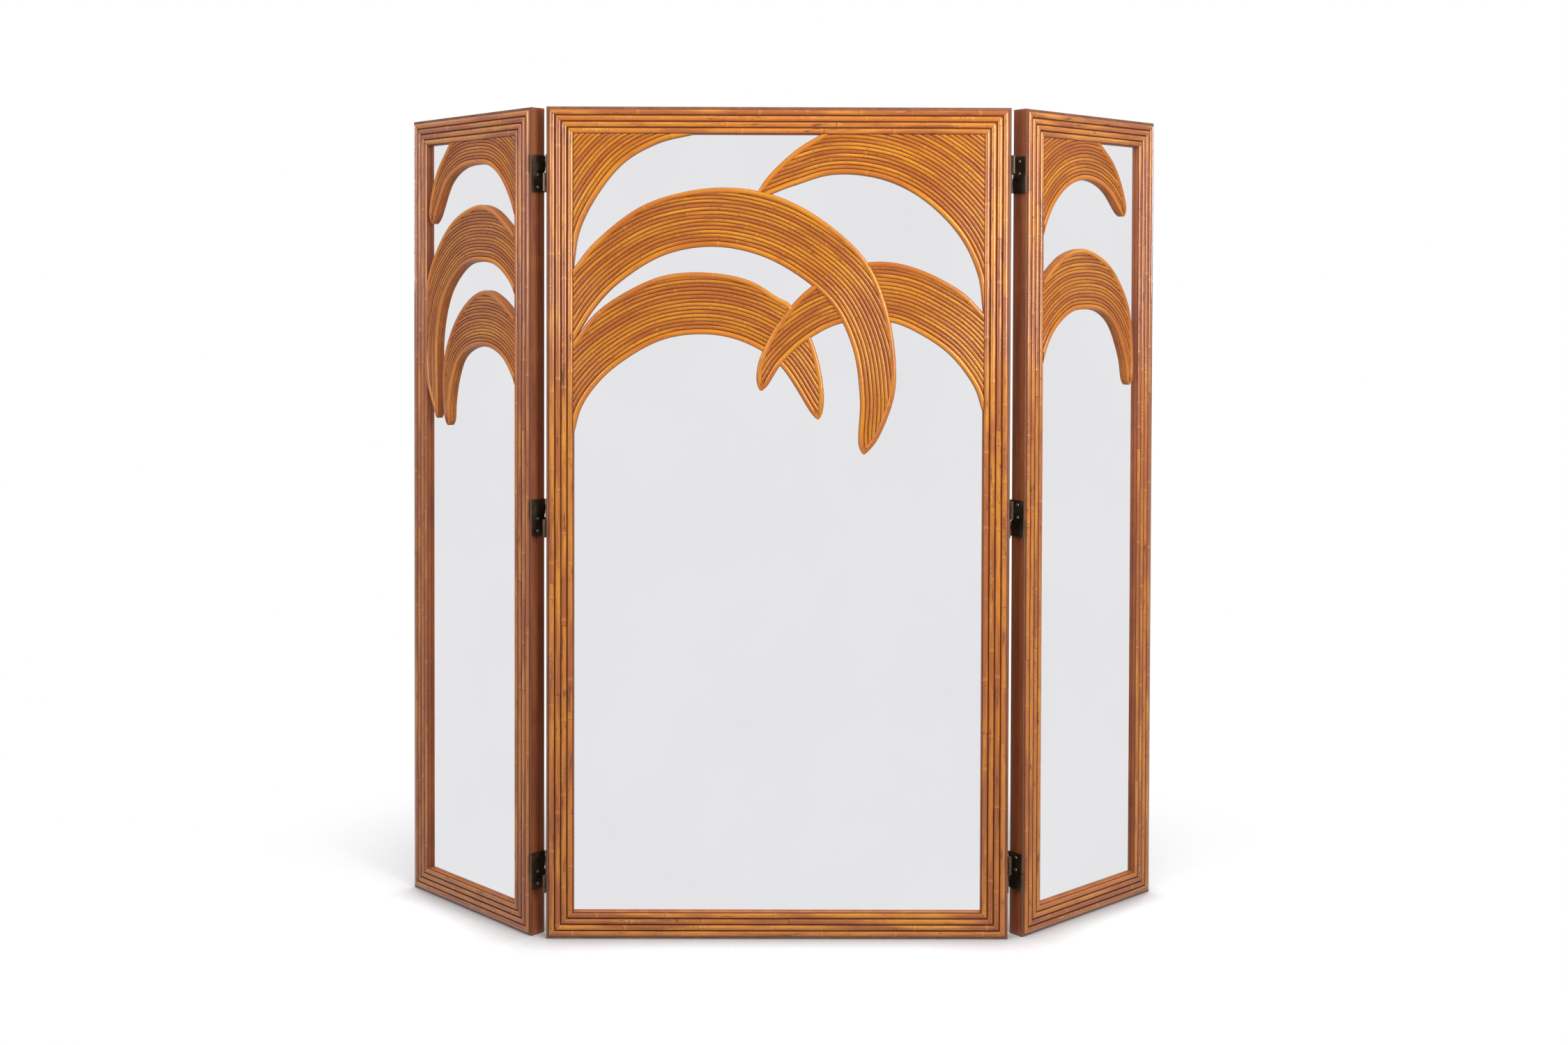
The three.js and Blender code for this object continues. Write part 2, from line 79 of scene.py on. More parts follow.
# Fronds as in the part's source. A point is [in from the root stile, down from the top rail], in
# hundredths of the opening's width and of the drop. A frond listed sooner lies over later ones.
DROPS = {"centre": 690, "left_wing": 645, "right_wing": 549}
FRONDS = {
    "centre": {
        "main": ("left", [
            (0, 64.9), (4.6, 55.4), (10.4, 47.2), (21.6, 38), (33.1, 35.1), (44, 37.2),
            (53.5, 43), (62.9, 53.2), (68.1, 66.8), (69.9, 82.6), (69.7, 97.4), (70.8, 99.9),
        ], [
            (72.2, 98.6), (74.5, 94.6), (78.2, 81.9), (78.6, 71), (76.5, 54.2), (71.5, 39.6),
            (61.1, 27.1), (49.8, 19.4), (38.5, 16.7), (27.1, 18), (16, 22.9), (4.6, 34.5),
            (0, 42),
        ]),
        "top_right": ("right", [
            (0.2, 54.2), (1.2, 44.6), (4.6, 34.2), (10.3, 25.1), (18.3, 17.4), (27, 13.3),
            (37.3, 12.6), (46.6, 16.1), (55.4, 19.7),
        ], [
            (53.7, 14.8), (46.2, 5.2), (39.8, 0),
        ]),
        "top_left": ("left", [
            (0.1, 40.7), (1.5, 30.3), (5.5, 19.7), (12.2, 9.1), (20.6, 2.9), (29.6, 0),
        ], []),
        "low_right": ("right", [
            (0.3, 85.7), (2.1, 79), (7.9, 69.1), (15.6, 62.2), (22.6, 58.6), (34.2, 58.8),
            (41.9, 63.3), (49.2, 71.6), (52.9, 78.8), (54.3, 80.1),
        ], [
            (55.3, 77.4), (55, 71.6), (52.3, 63.3), (49.5, 57.7), (44.1, 49.6), (35.1, 42),
            (25.1, 39.6), (15.7, 42), (4.6, 49.6), (0, 55.7),
        ]),
        "low_left": ("left", [
            (0.2, 92.9), (1.8, 85.8), (4.8, 79.6), (10.4, 72.5), (21.6, 64.3), (32.8, 62.5),
            (42.1, 65.2), (50.1, 71.9), (58.4, 87.7), (59.7, 89),
        ], [
            (60.7, 87), (61, 79), (58.1, 63.9), (52.6, 52.8), (49.9, 50.9), (43, 45.7),
            (32.8, 43.2), (21.6, 44.3), (10.5, 51), (4.8, 56.7), (0, 64.6),
        ]),
    },
    "left_wing": {
        "high": ("right", [
            (-1.5, 28.8), (6, 20.6), (16.5, 13.3), (28.4, 9.3), (44.9, 8.4), (61.4, 9.5),
            (76.3, 14.1), (91.9, 27.3), (95.2, 28.2),
        ], [
            (97.9, 25.4), (94.9, 17.2), (88.3, 9.5), (73.4, 0),
        ]),
        "middle": ("right", [
            (-1.5, 55.2), (6, 49.3), (21, 43.7), (34.4, 42.3), (53.9, 43.1), (68.9, 48.1),
            (79.3, 54.9), (87.1, 68.2), (87.7, 96.1), (89.5, 97.7),
        ], [
            (93.4, 93.6), (100, 86.2), (103.3, 66.7), (100, 48.2), (88.3, 37.1), (73.4, 29),
            (58.4, 24.7), (38.9, 22.5), (24, 24.2), (9, 29.3), (-1.5, 33.8),
        ]),
        "low": ("right", [
            (-1.5, 86.2), (3, 81.6), (13.5, 75.3), (28.4, 71.9), (47.9, 72.4), (61.4, 76.3),
            (68.9, 83.6), (72.8, 92.1), (74, 98.8), (76.3, 100),
        ], [
            (78.7, 98.8), (81.7, 89.8), (81.1, 78.1), (71.9, 66.5), (58.4, 58.1), (43.4, 53.3),
            (29.9, 52.2), (16.5, 54.9), (-1.5, 61.6),
        ]),
    },
    "right_wing": {
        "high": ("left", [
            (-2.4, 45.9), (0, 39.3), (10.2, 27), (25.1, 18.8), (41, 15.7), (55.4, 16.6),
            (67.4, 20.2), (82, 29), (85, 29.5),
        ], [
            (86.8, 26.8), (82, 17.1), (72.5, 7.7), (58.1, 0),
        ]),
        "low": ("left", [
            (-2.4, 98.7), (0, 90.3), (10.2, 78), (28.1, 69.8), (43.1, 68.3), (59.9, 69.4),
            (73.1, 74.7), (85, 88.5), (88.9, 98.7), (91.6, 100),
        ], [
            (94.6, 97.8), (94.9, 84.5), (89.8, 66.7), (73.1, 52.1), (58.4, 46.4),
            (40.1, 43.7), (22.2, 46.3), (9, 51.7), (-2.4, 58.3),
        ]),
    },
}
PITCH_SHARES = {"centre": 1.0, "left_wing": 0.88, "right_wing": 0.94}   # of the fronds' cane pitch
PANEL_SHEEN = {"centre": 0.0, "left_wing": 0.9, "right_wing": 0.25}   # painted sheen of each panel's cane: 0 is golden, 1 duller and pinker, a greyish pink haze that stands in for the reflection of white surroundings
BODIES = {"centre": "centre_panel", "left_wing": "left_wing", "right_wing": "right_wing"}


def srgb(red, green, blue):
    """A colour given as 0-255 display values, as the linear colour that Blender stores."""
    def linear(value):
        share = value / 255
        return share / 12.92 if share <= 0.04045 else ((share + 0.055) / 1.055) ** 2.4
    return (linear(red), linear(green), linear(blue), 1.0)


# ------------------------------------------------------------------ settings


def length_property(name, description, default):
    return bpy.props.FloatProperty(
        name=name, description=description, default=default, min=0.0, unit="LENGTH"
    )


def colour_property(name, description, default):
    return bpy.props.FloatVectorProperty(
        name=name, description=description, default=default, size=4, min=0.0, max=1.0,
        subtype="COLOR",
    )


class ScreenSizes(bpy.types.PropertyGroup):
    """Sizes of the cane work and the small fittings."""

    frame_cane_height: length_property(
        "Frame Cane Height", "How far a cane of the frame stands off the core", 0.0049)
    frond_cane_pitch: length_property(
        "Frond Cane Pitch", "Distance between neighbouring canes on a frond", 0.0082)
    frond_cane_height: length_property(
        "Frond Cane Height", "How far a cane stands off a frond's board", 0.0026)
    binding_width: length_property(
        "Binding Width", "Width of the stout cane that binds a frond's edges", 0.012)
    binding_height: length_property(
        "Binding Height", "How far the binding cane stands off a frond's board", 0.0046)
    brad_width: length_property(
        "Brad Width", "Width of the head of a brad in the frame's cane", 0.0026)
    staple_length: length_property(
        "Staple Length", "Length of a short dark staple across a frond cane", 0.0044)
    screw_width: length_property(
        "Screw Width", "Width of the head of a hinge screw", 0.0072)


class ScreenFinishes(bpy.types.PropertyGroup):
    """Colours of the finishes."""

    cane_light: colour_property(
        "Cane, Light", "Light strips of the cane on the frame", srgb(208, 134, 26))
    cane_mid: colour_property(
        "Cane, Middle", "Main colour of the cane on the frame", srgb(178, 94, 12))
    cane_deep: colour_property(
        "Cane, Deep", "Red-brown stretches of the cane on the frame", srgb(150, 71, 13))
    # Also paints the shade in the grooves between the frame's canes.
    cane_dark: colour_property(
        "Cane, Dark", "Grooves, rings and scorching of the frame's cane", srgb(84, 32, 8))
    frond_light: colour_property(
        "Frond Cane, Light", "Light strips of the cane on the fronds", srgb(206, 135, 18))
    frond_mid: colour_property(
        "Frond Cane, Middle", "Main colour of the cane on the fronds", srgb(176, 98, 11))
    frond_deep: colour_property(
        "Frond Cane, Deep", "Red-brown stretches of the fronds' cane", srgb(156, 75, 11))
    # Also paints the shade in the grooves between the fronds' canes.
    frond_dark: colour_property(
        "Frond Cane, Dark", "Grooves, rings and scorching of the fronds' cane",
        srgb(116, 54, 14))
    binding_mid: colour_property(
        "Binding Cane", "Smooth cane along the edges of the fronds", srgb(192, 108, 14))
    wood_light: colour_property(
        "Wood, Light", "Light grain of the stained wooden core", srgb(144, 78, 38))
    wood_dark: colour_property(
        "Wood, Dark", "Dark grain of the stained wooden core", srgb(104, 50, 22))
    mirror: colour_property(
        "Mirror", "Tint of the mirror glass", srgb(229, 229, 231))
    board: colour_property(
        "Back Board", "Face of the plywood behind the mirrors", srgb(160, 116, 74))
    bronze: colour_property(
        "Dark Bronze", "Patina of the hinges", srgb(80, 65, 51))
    floor: colour_property(
        "Floor", "Plain pale floor", srgb(247, 247, 248))


# ------------------------------------------------------------------ node trees and materials


class Net:
    """A short way to write the nodes of one tree."""

    def __init__(self, tree):
        self.tree = tree

    def node(self, kind, inputs=None, **settings):
        node = self.tree.nodes.new(kind)
        for name, value in settings.items():
            setattr(node, name, value)
        for name, value in (inputs or {}).items():
            if isinstance(value, bpy.types.NodeSocket):
                self.tree.links.new(value, node.inputs[name])
            else:
                node.inputs[name].default_value = value
        return node

    def math(self, operation, *values, clamp=False):
        inputs = dict(enumerate(values))
        return self.node("ShaderNodeMath", inputs, operation=operation, use_clamp=clamp).outputs[0]

    def times(self, first, second):
        return self.math("MULTIPLY", first, second)

    def plus(self, first, second, clamp=False):
        return self.math("ADD", first, second, clamp=clamp)

    def remap(self, value, low, high, to_low=0.0, to_high=1.0):
        return self.node("ShaderNodeMapRange", {
            "Value": value, "From Min": low, "From Max": high,
            "To Min": to_low, "To Max": to_high,
        }, interpolation_type="SMOOTHSTEP").outputs["Result"]

    def mix(self, share, low, high, blend="MIX"):
        node = self.node("ShaderNodeMix", data_type="RGBA", blend_type=blend)
        for index, value in ((0, share), (6, low), (7, high)):
            if isinstance(value, bpy.types.NodeSocket):
                self.tree.links.new(value, node.inputs[index])
            else:
                node.inputs[index].default_value = value
        return node.outputs[2]

    def blend(self, share, low, high):
        """Two shaders mixed."""
        return self.node("ShaderNodeMixShader", {0: share, 1: low, 2: high}).outputs[0]

    def vector(self, x, y, z):
        return self.node("ShaderNodeCombineXYZ", {"X": x, "Y": y, "Z": z}).outputs[0]

    def noise(self, vector, scale, detail=2.0, roughness=0.5):
        return self.node("ShaderNodeTexNoise", {
            "Vector": vector, "Scale": scale, "Detail": detail, "Roughness": roughness,
        }).outputs["Fac"]

    def attribute(self, name):
        return self.node("ShaderNodeAttribute", attribute_name=name).outputs["Fac"]

    def object_point(self):
        return self.node("ShaderNodeTexCoord").outputs["Object"]


def node_group(name, kind, inputs, outputs):
    """An empty node tree with these sockets: the tree, its Net, what it is given and puts out."""
    tree = bpy.data.node_groups.new(name, kind)
    for socket, socket_kind, *default in inputs:
        made = tree.interface.new_socket(socket, in_out="INPUT", socket_type=socket_kind)
        if default:
            made.default_value = default[0]
    for socket, socket_kind in outputs:
        tree.interface.new_socket(socket, in_out="OUTPUT", socket_type=socket_kind)
    net = Net(tree)
    return tree, net, net.node("NodeGroupInput").outputs, net.node("NodeGroupOutput").inputs


LANES = 91.7                  # spreads the canes' tints out, so that each has its own pattern
# Painted sheen: the greyish pink haze that a panel's tone mixes in, for the reflection of white
# surroundings.
SHEEN_HAZE = (1.02, 0.96, 2.6, 1.0)
FLECK_SPACING = 4.6


def cane_skin_group():
    """Fibres, node rings, wear and painted shade in the grooves of a varnished split cane, with a
    painted sheen where a panel has a tone, from its own attributes.
    """
    found = bpy.data.node_groups.get("Cane Skin")
    if found:
        return found
    colour, value = "NodeSocketColor", "NodeSocketFloat"
    tree, net, given, out = node_group(
        "Cane Skin", "ShaderNodeTree",
        [("Light", colour, (1, 1, 1, 1)), ("Middle", colour, (1, 1, 1, 1)),
         ("Deep", colour, (0.3, 0.3, 0.3, 1)), ("Dark", colour, (0, 0, 0, 1)),
         ("Fleck Colour", colour, (1, 1, 1, 1)),
         ("Mottling", value, 0.5), ("Flecks", value, 0.5), ("Scorching", value, 0.3),
         ("Groove", value, 0.9)],
        [("Color", colour), ("Roughness", value), ("Height", value)],
    )
    along = net.attribute("along")
    across = net.attribute("across")
    tint = net.attribute("tint")
    ring = net.attribute("ring")
    lane = net.times(tint, LANES)

    def drawn_out(along_rate, across_rate, place, scale=1.0, detail=2.0, roughness=0.5):
        """Noise that runs with the cane, from how fast it changes along and across it."""
        point = net.vector(net.times(along, along_rate), net.times(across, across_rate), place)
        return net.noise(point, scale, detail, roughness)

    fibre = drawn_out(0.02, 9.0, lane, scale=1.7, detail=5.0, roughness=0.72)
    cloud = drawn_out(0.014, 1.3, lane, detail=3.0, roughness=0.6)
    whole = net.plus(net.times(tint, 0.45), net.times(cloud, 0.85))
    share = net.plus(net.times(net.remap(whole, 0.3, 0.95), 0.85),
                     net.times(net.remap(fibre, 0.35, 0.68), 0.3), clamp=True)
    base = net.mix(share, given["Middle"], given["Light"])
    stain = drawn_out(0.005, 0.6, net.plus(lane, 17.0))
    stain = net.remap(net.plus(stain, net.times(tint, 0.22)), 0.52, 0.74)
    base = net.mix(net.times(stain, 0.85), base, given["Deep"])
    streak = net.times(net.remap(fibre, 0.5, 0.28), given["Mottling"])
    base = net.mix(streak, base, given["Deep"])
    shade = net.times(net.remap(cloud, 0.4, 0.26), given["Mottling"])
    base = net.mix(shade, base, given["Dark"])
    # Painted sheen: the tone attribute sends the colour over to a greyish pink haze, which stands
    # in for the reflection of white surroundings.
    base = net.mix(net.attribute("tone"), base, net.mix(1.0, base, SHEEN_HAZE, "MULTIPLY"))

    # Node rings dip in the middle of the cane, with a pale band on their far side. Their edges
    # are ragged, and they fade on part of the canes.
    offset = net.math("SUBTRACT", across, 0.5)
    bow = net.times(net.times(offset, offset), 9.0)
    ragged = net.noise(net.vector(net.times(across, 9.0), lane, 0.0), 1.0, 3.0, 0.7)
    ragged = net.times(net.math("SUBTRACT", ragged, 0.5), 4.0)
    place = net.plus(net.plus(ring, bow), ragged)
    fade = net.noise(net.vector(net.times(along, 0.02), lane, 7.0), 1.0, 1.0)
    fade = net.remap(fade, 0.35, 0.6, 0.25, 1.0)
    line = net.times(net.remap(net.math("ABSOLUTE", place), 1.3, 0.1), fade)
    band = net.times(net.remap(place, 0.2, 1.4), net.remap(place, 10.0, 1.5))
    band = net.times(band, net.remap(fibre, 0.3, 0.6, 0.3, 1.0))
    base = net.mix(net.times(band, 0.6), base, given["Light"])
    base = net.mix(net.times(line, 0.6), base, given["Dark"])

    # Short pale flecks, one at most in each step along the cane, on some stretches only.
    count = net.math("DIVIDE", along, FLECK_SPACING)
    chance = net.node("ShaderNodeTexWhiteNoise", {
        "Vector": net.vector(net.math("FLOOR", count), lane, 0.0)}).outputs["Value"]
    step = net.math("ABSOLUTE", net.math("SUBTRACT", net.math("FRACT", count), 0.5))
    aside = net.math("ABSOLUTE", net.plus(offset, net.times(chance, 0.24)))
    fleck = net.times(net.remap(step, 0.24, 0.1), net.remap(aside, 0.2, 0.1))
    fleck = net.times(fleck, net.remap(chance, 0.3, 0.6))
    stretch = net.noise(net.vector(net.times(along, 0.006), lane, 3.0), 1.0, 2.0)
    fleck = net.times(fleck, net.remap(stretch, 0.56, 0.64))
    base = net.mix(net.times(fleck, given["Flecks"]), base, given["Fleck Colour"])

    # Scorched patches, and painted shade in the grooves, darkest at each cane's edges where it
    # meets the next.
    burn = drawn_out(0.02, 1.1, net.plus(lane, 40.0), detail=4.0, roughness=0.65)
    burn = net.times(net.remap(burn, 0.62, 0.7), given["Scorching"])
    base = net.mix(burn, base, given["Dark"])
    # Painted shade: the cane's colour goes over to the dark colour towards both of its edges.
    groove_shade = net.remap(net.math("ABSOLUTE", net.times(offset, 2.0)), 0.66, 0.98)
    base = net.mix(net.times(groove_shade, given["Groove"]), base, given["Dark"])

    rough = net.plus(net.remap(fibre, 0.3, 0.7, 0.12, 0.22), net.times(groove_shade, 0.3))
    height = net.math("SUBTRACT", net.times(fibre, 0.5), net.times(line, 0.8))
    height = net.plus(height, net.times(band, 0.25))
    for name, socket in (("Color", base), ("Roughness", rough), ("Height", height)):
        tree.links.new(socket, out[name])
    return tree


def wood_grain_group():
    """Straight grain with pores, in object space, stretched along the given direction."""
    found = bpy.data.node_groups.get("Wood Grain")
    if found:
        return found
    colour, value, vector = "NodeSocketColor", "NodeSocketFloat", "NodeSocketVector"
    tree, net, given, out = node_group(
        "Wood Grain", "ShaderNodeTree",
        [("Light", colour, (1, 1, 1, 1)), ("Dark", colour, (0, 0, 0, 1)),
         ("Stretch", vector, (60, 60, 3)), ("Wear", value, 0.3)],
        [("Color", colour), ("Roughness", value), ("Height", value)],
    )
    point = net.object_point()
    laid = net.node("ShaderNodeVectorMath", {0: point, 1: given["Stretch"]},
                    operation="MULTIPLY").outputs[0]
    broad = net.noise(laid, 1.0, 3.0, 0.55)
    fine = net.noise(laid, 6.0, 4.0, 0.65)
    share = net.plus(net.times(net.remap(broad, 0.3, 0.7), 0.6),
                     net.times(net.remap(fine, 0.3, 0.7), 0.4), clamp=True)
    base = net.mix(share, given["Dark"], given["Light"])
    rubbed = net.remap(net.noise(point, 14.0, 3.0), 0.55, 0.75)
    base = net.mix(net.times(rubbed, given["Wear"]), base, given["Light"])
    rough = net.remap(fine, 0.3, 0.7, 0.42, 0.6)
    for name, socket in (("Color", base), ("Roughness", rough), ("Height", fine)):
        tree.links.new(socket, out[name])
    return tree


def new_material(name):
    """A fresh material, the Net of its nodes and its Principled BSDF."""
    material = bpy.data.materials.new(name)
    material.use_nodes = True
    return material, Net(material.node_tree), material.node_tree.nodes["Principled BSDF"]


def dressed(name, group, values, bump_distance, bump_strength=0.5, gloss=0.5):
    """The material of that name, whose colour, roughness and bump come from one node group."""
    found = bpy.data.materials.get(name)
    if found:
        return found
    material, net, shader = new_material(name)
    skin = net.node("ShaderNodeGroup", node_tree=group)
    for key, value in values.items():
        skin.inputs[key].default_value = value
    bump = net.node("ShaderNodeBump", {
        "Height": skin.outputs["Height"], "Distance": bump_distance, "Strength": bump_strength,
    })
    net.tree.links.new(skin.outputs["Color"], shader.inputs["Base Color"])
    net.tree.links.new(skin.outputs["Roughness"], shader.inputs["Roughness"])
    net.tree.links.new(bump.outputs[0], shader.inputs["Normal"])
    shader.inputs["Specular IOR Level"].default_value = gloss
    return material


def plain(name, colour, rough, metallic, vary, scale, bump_distance=0.0):
    """The material of that name, which a cloud of noise varies in colour, roughness and bump."""
    found = bpy.data.materials.get(name)
    if found:
        return found
    material, net, shader = new_material(name)
    cloud = net.noise(net.object_point(), scale, 4.0, 0.6)
    darker = tuple(part * (1 - vary) for part in colour[:3]) + (1.0,)
    lighter = tuple(min(1.0, part * (1 + vary)) for part in colour[:3]) + (1.0,)
    shown = net.mix(net.remap(cloud, 0.35, 0.65), darker, lighter)
    sheen = net.remap(cloud, 0.35, 0.65, rough * 0.8, rough * 1.2)
    net.tree.links.new(shown, shader.inputs["Base Color"])
    net.tree.links.new(sheen, shader.inputs["Roughness"])
    shader.inputs["Metallic"].default_value = metallic
    if bump_distance:
        bump = net.node("ShaderNodeBump", {
            "Height": cloud, "Distance": bump_distance, "Strength": 0.4})
        net.tree.links.new(bump.outputs[0], shader.inputs["Normal"])
    return material


def frame_cane_material():
    finishes = bpy.context.scene.screen_finishes
    return dressed("frame_cane_skin", cane_skin_group(), {
        "Light": finishes.cane_light, "Middle": finishes.cane_mid,
        "Deep": finishes.cane_deep, "Dark": finishes.cane_dark,
        "Fleck Colour": srgb(244, 200, 120),
        "Mottling": 0.75, "Flecks": 0.45, "Scorching": 0.8, "Groove": 0.85,
    }, bump_distance=0.00012, gloss=0.68)


def frond_cane_material():
    finishes = bpy.context.scene.screen_finishes
    return dressed("frond_cane_skin", cane_skin_group(), {
        "Light": finishes.frond_light, "Middle": finishes.frond_mid,
        "Deep": finishes.frond_deep, "Dark": finishes.frond_dark,
        "Fleck Colour": srgb(240, 196, 120),
        "Mottling": 0.7, "Flecks": 0.15, "Scorching": 0.6, "Groove": 0.5,
    }, bump_distance=0.0001)


def binding_cane_material():
    finishes = bpy.context.scene.screen_finishes
    return dressed("binding_cane_skin", cane_skin_group(), {
        "Light": finishes.frond_light, "Middle": finishes.binding_mid,
        "Deep": srgb(174, 90, 13), "Dark": finishes.frond_dark,
        "Fleck Colour": srgb(236, 188, 110),
        "Mottling": 0.5, "Flecks": 0.2, "Scorching": 0.4, "Groove": 0.6,
    }, bump_distance=0.0001)


def strip_material():
    """Lit edges of the frond boards, and the strip along the foot of an opening. There it is
    painted light: a lighter copy of the lining's wood for the upward face, beside the painted
    shade of the sides and top.
    """
    return dressed("side_strip", wood_grain_group(), {
        "Light": srgb(186, 108, 36), "Dark": srgb(150, 78, 26),
        "Stretch": (30, 30, 30), "Wear": 0.15,
    }, bump_distance=0.0002, bump_strength=0.3)


def shaded_lining_material():
    # Painted shade: a darker copy of the foot strip's wood, for the shaded sides and top of an
    # opening.
    return dressed("opening_lining_shaded", wood_grain_group(), {
        "Light": srgb(158, 84, 36), "Dark": srgb(120, 58, 24),
        "Stretch": (24, 24, 8), "Wear": 0.15,
    }, bump_distance=0.0002, bump_strength=0.3)


def core_material():
    finishes = bpy.context.scene.screen_finishes
    return dressed("stained_core_wood", wood_grain_group(), {
        "Light": finishes.wood_light, "Dark": finishes.wood_dark,
        "Stretch": (70, 70, 4), "Wear": 0.5,
    }, bump_distance=0.0004)


def margin_material():
    return dressed("margin_wood", wood_grain_group(), {
        "Light": srgb(134, 84, 54), "Dark": srgb(92, 56, 38),
        "Stretch": (40, 40, 8), "Wear": 0.4,
    }, bump_distance=0.0004)


def board_material():
    return dressed("board_plywood", wood_grain_group(), {
        "Light": bpy.context.scene.screen_finishes.board, "Dark": srgb(118, 80, 46),
        "Stretch": (26, 26, 2.4), "Wear": 0.2,
    }, bump_distance=0.0003)


def bronze_material():
    bronze = bpy.context.scene.screen_finishes.bronze
    return plain("hinge_bronze", bronze, rough=0.38, metallic=0.75, vary=0.2, scale=45.0,
                 bump_distance=0.0001)


def screw_material():
    return plain("screw_steel", srgb(140, 134, 126), rough=0.34, metallic=0.9, vary=0.15,
                 scale=300.0, bump_distance=0.0001)


def brad_material():
    return plain("brad_iron", srgb(44, 26, 16), rough=0.55, metallic=0.2, vary=0.3,
                 scale=400.0, bump_distance=0.0001)


def mirror_material():
    mirror = bpy.context.scene.screen_finishes.mirror
    return plain("silvered_glass", mirror, rough=0.012, metallic=1.0, vary=0.012, scale=3.0)


# ------------------------------------------------------------------ placing

SIDEWAYS = {"left_wing": -1, "right_wing": 1}


def hinge_x(wing):
    return SIDEWAYS[wing] * (PANEL_WIDTHS["centre"] + HINGE_GAP) / 2


def pin_matrix(wing):
    """Millimetres from a wing's back pins, turned with the wing, to the row frame in metres."""
    turn = Matrix.Rotation(SIDEWAYS[wing] * math.radians(FOLD_DEGREES[wing]), 4, "Z")
    return Matrix.Scale(MM, 4) @ Matrix.Translation((hinge_x(wing), PIN_REACH, 0)) @ turn


def panel_matrix(panel):
    """Panel millimetres (x, y back from the core's middle, z) to the row frame in metres."""
    if panel == "centre":
        return Matrix.Scale(MM, 4)
    board_x = SIDEWAYS[panel] * (HINGE_GAP + PANEL_WIDTHS[panel]) / 2
    return pin_matrix(panel) @ Matrix.Translation((board_x, -PIN_REACH, 0))


def face_matrix(panel, height=0.0):
    """Drawing millimetres (x, z, height) on a panel's front to the row frame in metres."""
    stand = Matrix.Rotation(math.radians(90), 4, "X")
    return panel_matrix(panel) @ Matrix.Translation((0, -PANEL_DEPTH / 2 - height, 0)) @ stand


def linked(name, data):
    """A new object with that data, in the scene."""
    made = bpy.data.objects.new(name, data)
    bpy.context.scene.collection.objects.link(made)
    return made


def mesh_from(shape, name):
    """The mesh of a finished BMesh, which is freed."""
    mesh = bpy.data.meshes.new(name)
    shape.to_mesh(mesh)
    shape.free()
    return mesh


def finish_piece(mesh, name, panel, replaced=()):
    """Makes a mesh that is already in the row frame a piece on that panel's body."""
    mesh.name = name
    piece = linked(name, mesh)
    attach(piece, BODIES[panel])
    if replaced:
        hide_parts(*replaced)


def joined(meshes):
    """One mesh from several, with all that their points carry."""
    parts = [linked("part", mesh) for mesh in meshes]
    with bpy.context.temp_override(active_object=parts[0], selected_editable_objects=parts):
        bpy.ops.object.join()
    result = parts[0].data
    bpy.data.objects.remove(parts[0])
    return result


def cut_mesh(mesh, planes):
    """Cuts away what lies beyond each plane, given as (point, outward normal), and caps it."""
    shape = bmesh.new()
    shape.from_mesh(mesh)
    for point, normal in planes:
        everything = list(shape.verts) + list(shape.edges) + list(shape.faces)
        result = bmesh.ops.bisect_plane(
            shape, geom=everything, plane_co=point, plane_no=normal, clear_outer=True)
        cut = [item for item in result["geom_cut"] if isinstance(item, bmesh.types.BMEdge)]
        if cut:
            made = bmesh.ops.holes_fill(shape, edges=cut)
            for face in made["faces"]:
                face.smooth = False
    shape.to_mesh(mesh)
    shape.free()
    return mesh


# ------------------------------------------------------------------ geometry node trees

GEOMETRY = ("Geometry", "NodeSocketGeometry")


def laid_cane_tree():
    """Half-round canes along drawn lines, with a coordinate across each one."""
    found = bpy.data.node_groups.get("Laid Canes")
    if found:
        return found
    tree, net, given, out = node_group("Laid Canes", "GeometryNodeTree", [
        GEOMETRY, ("Rise", "NodeSocketFloat"), ("Facets", "NodeSocketInt"),
        ("Finish", "NodeSocketMaterial"),
    ], [GEOMETRY])
    lines = net.node("GeometryNodeMeshToCurve", {"Mesh": given["Geometry"]})
    width = net.node("GeometryNodeInputNamedAttribute", {"Name": "half_width"},
                     data_type="FLOAT")
    upright = net.node("GeometryNodeSetCurveNormal", {"Curve": lines.outputs[0]}, mode="Z_UP")

    arc = net.node("GeometryNodeCurveArc", {
        "Resolution": given["Facets"], "Radius": 1.0, "Start Angle": math.pi,
        "Sweep Angle": math.pi, "Connect Center": True,
    }, mode="RADIUS")
    squashed = net.node("GeometryNodeTransform", {
        "Geometry": arc.outputs["Curve"], "Scale": net.vector(1.0, given["Rise"], 1.0)})
    spot = net.node("GeometryNodeInputPosition")
    parts = net.node("ShaderNodeSeparateXYZ", {"Vector": spot.outputs[0]})
    share = net.math("MULTIPLY_ADD", parts.outputs["X"], 0.5, 0.5)
    marked = net.node("GeometryNodeStoreNamedAttribute", {
        "Geometry": squashed.outputs[0], "Name": "across", "Value": share,
    }, data_type="FLOAT", domain="POINT")

    swept = net.node("GeometryNodeCurveToMesh", {
        "Curve": upright.outputs[0], "Profile Curve": marked.outputs[0],
        "Scale": width.outputs["Attribute"], "Fill Caps": True})
    real = net.node("GeometryNodeRealizeInstances", {"Geometry": swept.outputs[0]})
    painted = net.node("GeometryNodeSetMaterial", {
        "Geometry": real.outputs[0], "Material": given["Finish"]})
    tree.links.new(painted.outputs[0], out["Geometry"])
    return tree


